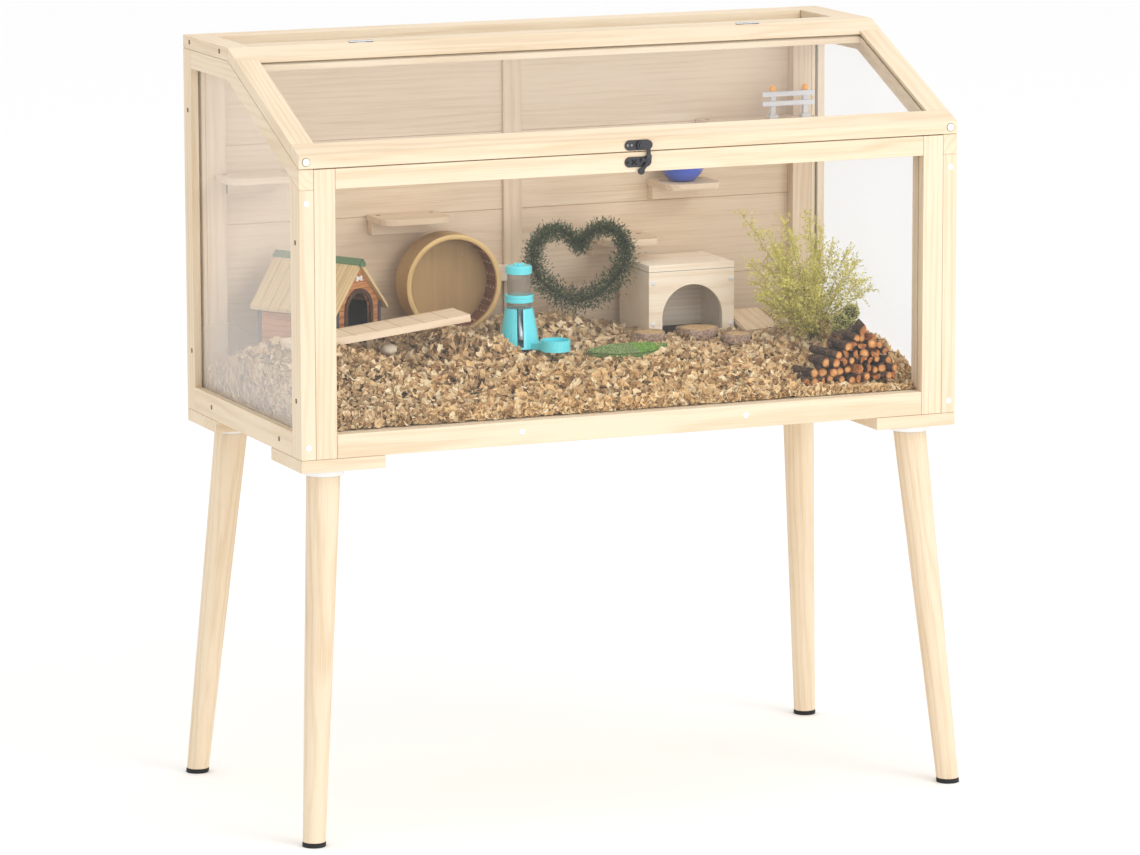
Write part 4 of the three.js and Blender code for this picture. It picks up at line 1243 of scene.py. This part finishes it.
# ---- Caps, screws, collars and mesh ----
def cap_disc(shape, centre, axis, radius):
    """A flat white cap that is pressed over a screw."""
    profile = [(radius, 0.0), (radius, 0.5), (radius * 0.86, 0.95), (radius * 0.4, 1.15), (0.01, 1.2)]
    shape.lathe(profile, centre, axis, 24)


def screw_hole(shape, centre, axis):
    """A countersunk screw: a flat dark ring round a small steel head. The ring stands in for the recess: its
    wall's own brown, darkened with painted shade.
    """
    shape.lathe([(3.5, 0.0), (3.5, 0.12), (0.01, 0.14)], centre, axis, 24)
    shape.lathe([(2.1, 0.0), (2.1, 0.3), (0.01, 0.36)], centre, axis, 20, 1)


# Each shelf's left end, right end, front edge and top.
SHELVES = (
    (-227, -120, 148, 811), (119, 207, 142, 762), (217.5, 305, 138, 840), (-465, -350, 140, 884),
    (297, 477.5, 148, 925),
)
# The (y, z) places of the screws in each side frame.
SIDE_SCREWS = (
    (220.5, 977), (217, 629), (134, 559), (-148, 559), (-221, 843), (-219, 623), (210, 1075.5),
    (82, 1075.5),
)


def screw_caps():
    white = plain("white screw cap", tone(240, 242, 246), 0.3, speckle=0.03)
    shadow = plain("cap shadow", tone(140, 116, 88), 0.9)
    face_y = -238.0
    caps = Shape()
    for x, z in ((-489.5, 898), (489.5, 898), (-489.5, 559.5), (489.5, 559.5), (-172.8, 560.5), (170, 560.5)):
        cap_disc(caps, (x, face_y, z), TO_FRONT, 4.3)
    caps.piece("frame_caps", [white], smooth=True)
    lid_caps = Shape()
    for x in (-489.2, 489.2):
        lid_caps.lathe([(6, 0.0), (6, 0.15), (0.01, 0.2)], (x, face_y, 955.0), TO_FRONT, 28, 1)
        cap_disc(lid_caps, (x, face_y - 0.2, 955.0), TO_FRONT, 5.2)
    lid_caps.piece("lid_caps", [white, shadow], "lid", smooth=True)


def screws():
    # The dark ring's colour: the recess wall's own brown, darkened with painted shade.
    dark = plain("screw recess with painted shade", tone(74, 54, 36), 0.9)
    steel = plain("screw steel", tone(150, 140, 128), 0.4, metallic=0.8)
    shape = Shape()
    for sign in BOTH_SIDES:
        for y, z in SIDE_SCREWS:
            screw_hole(shape, (sign * 500.0, y, z), (sign, 0, 0))
    for x, z in ((-440, 560), (440, 560), (-440, 1040), (440, 1040)):
        screw_hole(shape, (x, 236.72, z), (0, 1, 0))
    for left, right, front, top in SHELVES:
        for x in (left + 12, right - 12):
            screw_hole(shape, (x, front + 60, top), UP)
    shape.piece("screws", [dark, steel])


def leg_collars():
    """The white moulded plate that each leg screws into, round the leg's top."""

    def wobble(angle, ring):
        return 1 + (0.02 * math.sin(8 * angle) if ring < 2 else 0)

    moulded = plain("leg plate", tone(240, 240, 238), 0.45, speckle=0.02)
    profile = [(25.2, 512.5), (27.8, 513.2), (29.4, 519.0), (29.4, 523.8)]
    for sign_x, side in zip(BOTH_SIDES, ("left", "right")):
        for sign_y, end in zip(BOTH_SIDES, ("front", "rear")):
            collar = Shape()
            centre = (sign_x * 450.4, sign_y * 190.0, 0)
            collar.lathe(profile, centre, sides=64, wobble=wobble, open_ends=True)
            collar.piece(f"{end}_{side}_leg_collar", [moulded], smooth=True)


def ventilation_mesh():
    wire = plain("mesh wire", tone(196, 198, 202), 0.35, metallic=1.0)
    mesh = Shape()
    pitch, radius, level = 12.7, 0.6, 1063.6
    x0, x1, y0, y1 = -473.0, 473.0, 71.0, 198.0
    for index in range(int((x1 - x0) / pitch) + 1):
        x = x0 + 2 + index * pitch
        mesh.tube([(x, y0, level), (x, y1, level)], radius, 6)
    for index in range(int((y1 - y0) / pitch) + 1):
        y = y0 + 0.7 + index * pitch
        mesh.tube([(x0, y, level + 0.7), (x1, y, level + 0.7)], radius, 6)
    made = mesh.piece("fine_ventilation_mesh", [wire], smooth=True)
    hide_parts("top_mesh")


def rivet(shape, x, z):
    """A low round head on the frame's front, facing forward."""
    shape.lathe([(2.0, 0), (1.8, 0.4), (0.01, 0.6)], (x, -239.5, z), TO_FRONT, 18)


def latch_details():
    steel = plain("latch steel", tone(62, 62, 65), 0.42, metallic=0.35, speckle=0.1)
    for node in ("latch_plate", "latch_catch", "latch_hook"):
        dress(node, steel, 0.35)
    bright = plain("rivet steel", tone(150, 150, 154), 0.3, metallic=0.9)
    lid_parts = Shape()
    lid_parts.lathe([(2.3, 0), (2.2, 0.35), (1.2, 0.7), (0.01, 0.8)], (6.8, -243.2, 954), TO_FRONT, 20)
    for x in (-12.5, -6.5):
        rivet(lid_parts, x, 954)
    lid_parts.piece("latch_plate_screws", [bright], "lid", smooth=True)
    catch_parts = Shape()
    for x in (-13.0, 19.5):
        rivet(catch_parts, x, 930.4)
    for angle in (45, -45):
        slant = Matrix.Rotation(math.radians(angle), 3, "Y")
        ends = [Vector((-3.0, -239.6, 930.4)) + slant @ Vector((reach, 0, 0)) for reach in (-5, 5)]
        catch_parts.tube(ends, 0.9, 8)
    catch_parts.piece("latch_catch_marks", [plain("latch slot", tone(20, 20, 20), 0.7)], smooth=True)


# ---- Camera, light and floor ----
def pale_surroundings():
    world = bpy.data.worlds.new("studio")
    bpy.context.scene.world = world
    world.use_nodes = True
    backdrop = world.node_tree.nodes["Background"]
    backdrop.inputs["Color"].default_value = (1.0, 1.0, 1.0, 1.0)
    backdrop.inputs["Strength"].default_value = 1.03

    reach = 30.0
    corners = [(-reach, -reach, 0), (reach, -reach, 0), (reach, reach, 0), (-reach, reach, 0)]
    white = plain("pale floor", tone(250, 250, 250), 0.9, speckle=0.004)
    ground = new_object("floor", corners, [(0, 1, 2, 3)], [white])


def softbox(name, place, aim, size, power):
    lamp = bpy.data.lights.new(name, "AREA")
    lamp.shape = "SQUARE"
    lamp.size = size
    lamp.energy = power
    holder = bpy.data.objects.new(name, lamp)
    bpy.context.scene.collection.objects.link(holder)
    holder.location = place
    holder.rotation_euler = (Vector(aim) - Vector(place)).to_track_quat("-Z", "Y").to_euler()


def place_camera():
    lens = bpy.data.cameras.new("camera")
    lens.sensor_width = 36.0
    lens.lens = 186.23
    lens.shift_x = -0.01018
    lens.shift_y = 0.00292
    lens.clip_end = 100.0
    camera = bpy.data.objects.new("camera", lens)
    bpy.context.scene.collection.objects.link(camera)
    camera.location = (-3.24204, -7.73225, 1.98072)
    pitch, roll, yaw = (math.radians(angle) for angle in (90 - 9.940, 0.11, -22.879))
    camera.rotation_euler = (pitch, roll, yaw)
    bpy.context.scene.camera = camera


def studio():
    pale_surroundings()
    softbox("key", (2.2, -3.6, 3.4), (0, 0, 0.7), 2.0, 52.0)
    softbox("front fill", (0.6, -5.2, 1.6), (0, 0, 0.75), 2.4, 52.0)
    softbox("top", (-0.4, 0.2, 4.2), (0, 0, 0.8), 2.2, 8.0)
    view = bpy.context.scene.view_settings
    view.view_transform = "Standard"
    view.look = "None"
    place_camera()


for dress_or_build in (
    dress_boards, dress_panes, dress_fittings, latch_details, bedding,
    kennel, scored_plank, small_ramp, wood_slices, log_pile, pebbles,
    wreath, fern, round_bushes, moss_mat, blue_bowl, little_fence,
    wheel_drum, wheel_track, wheel_studs, drinker, nest_details,
    screw_caps, screws, leg_collars, ventilation_mesh, studio,
):
    dress_or_build()
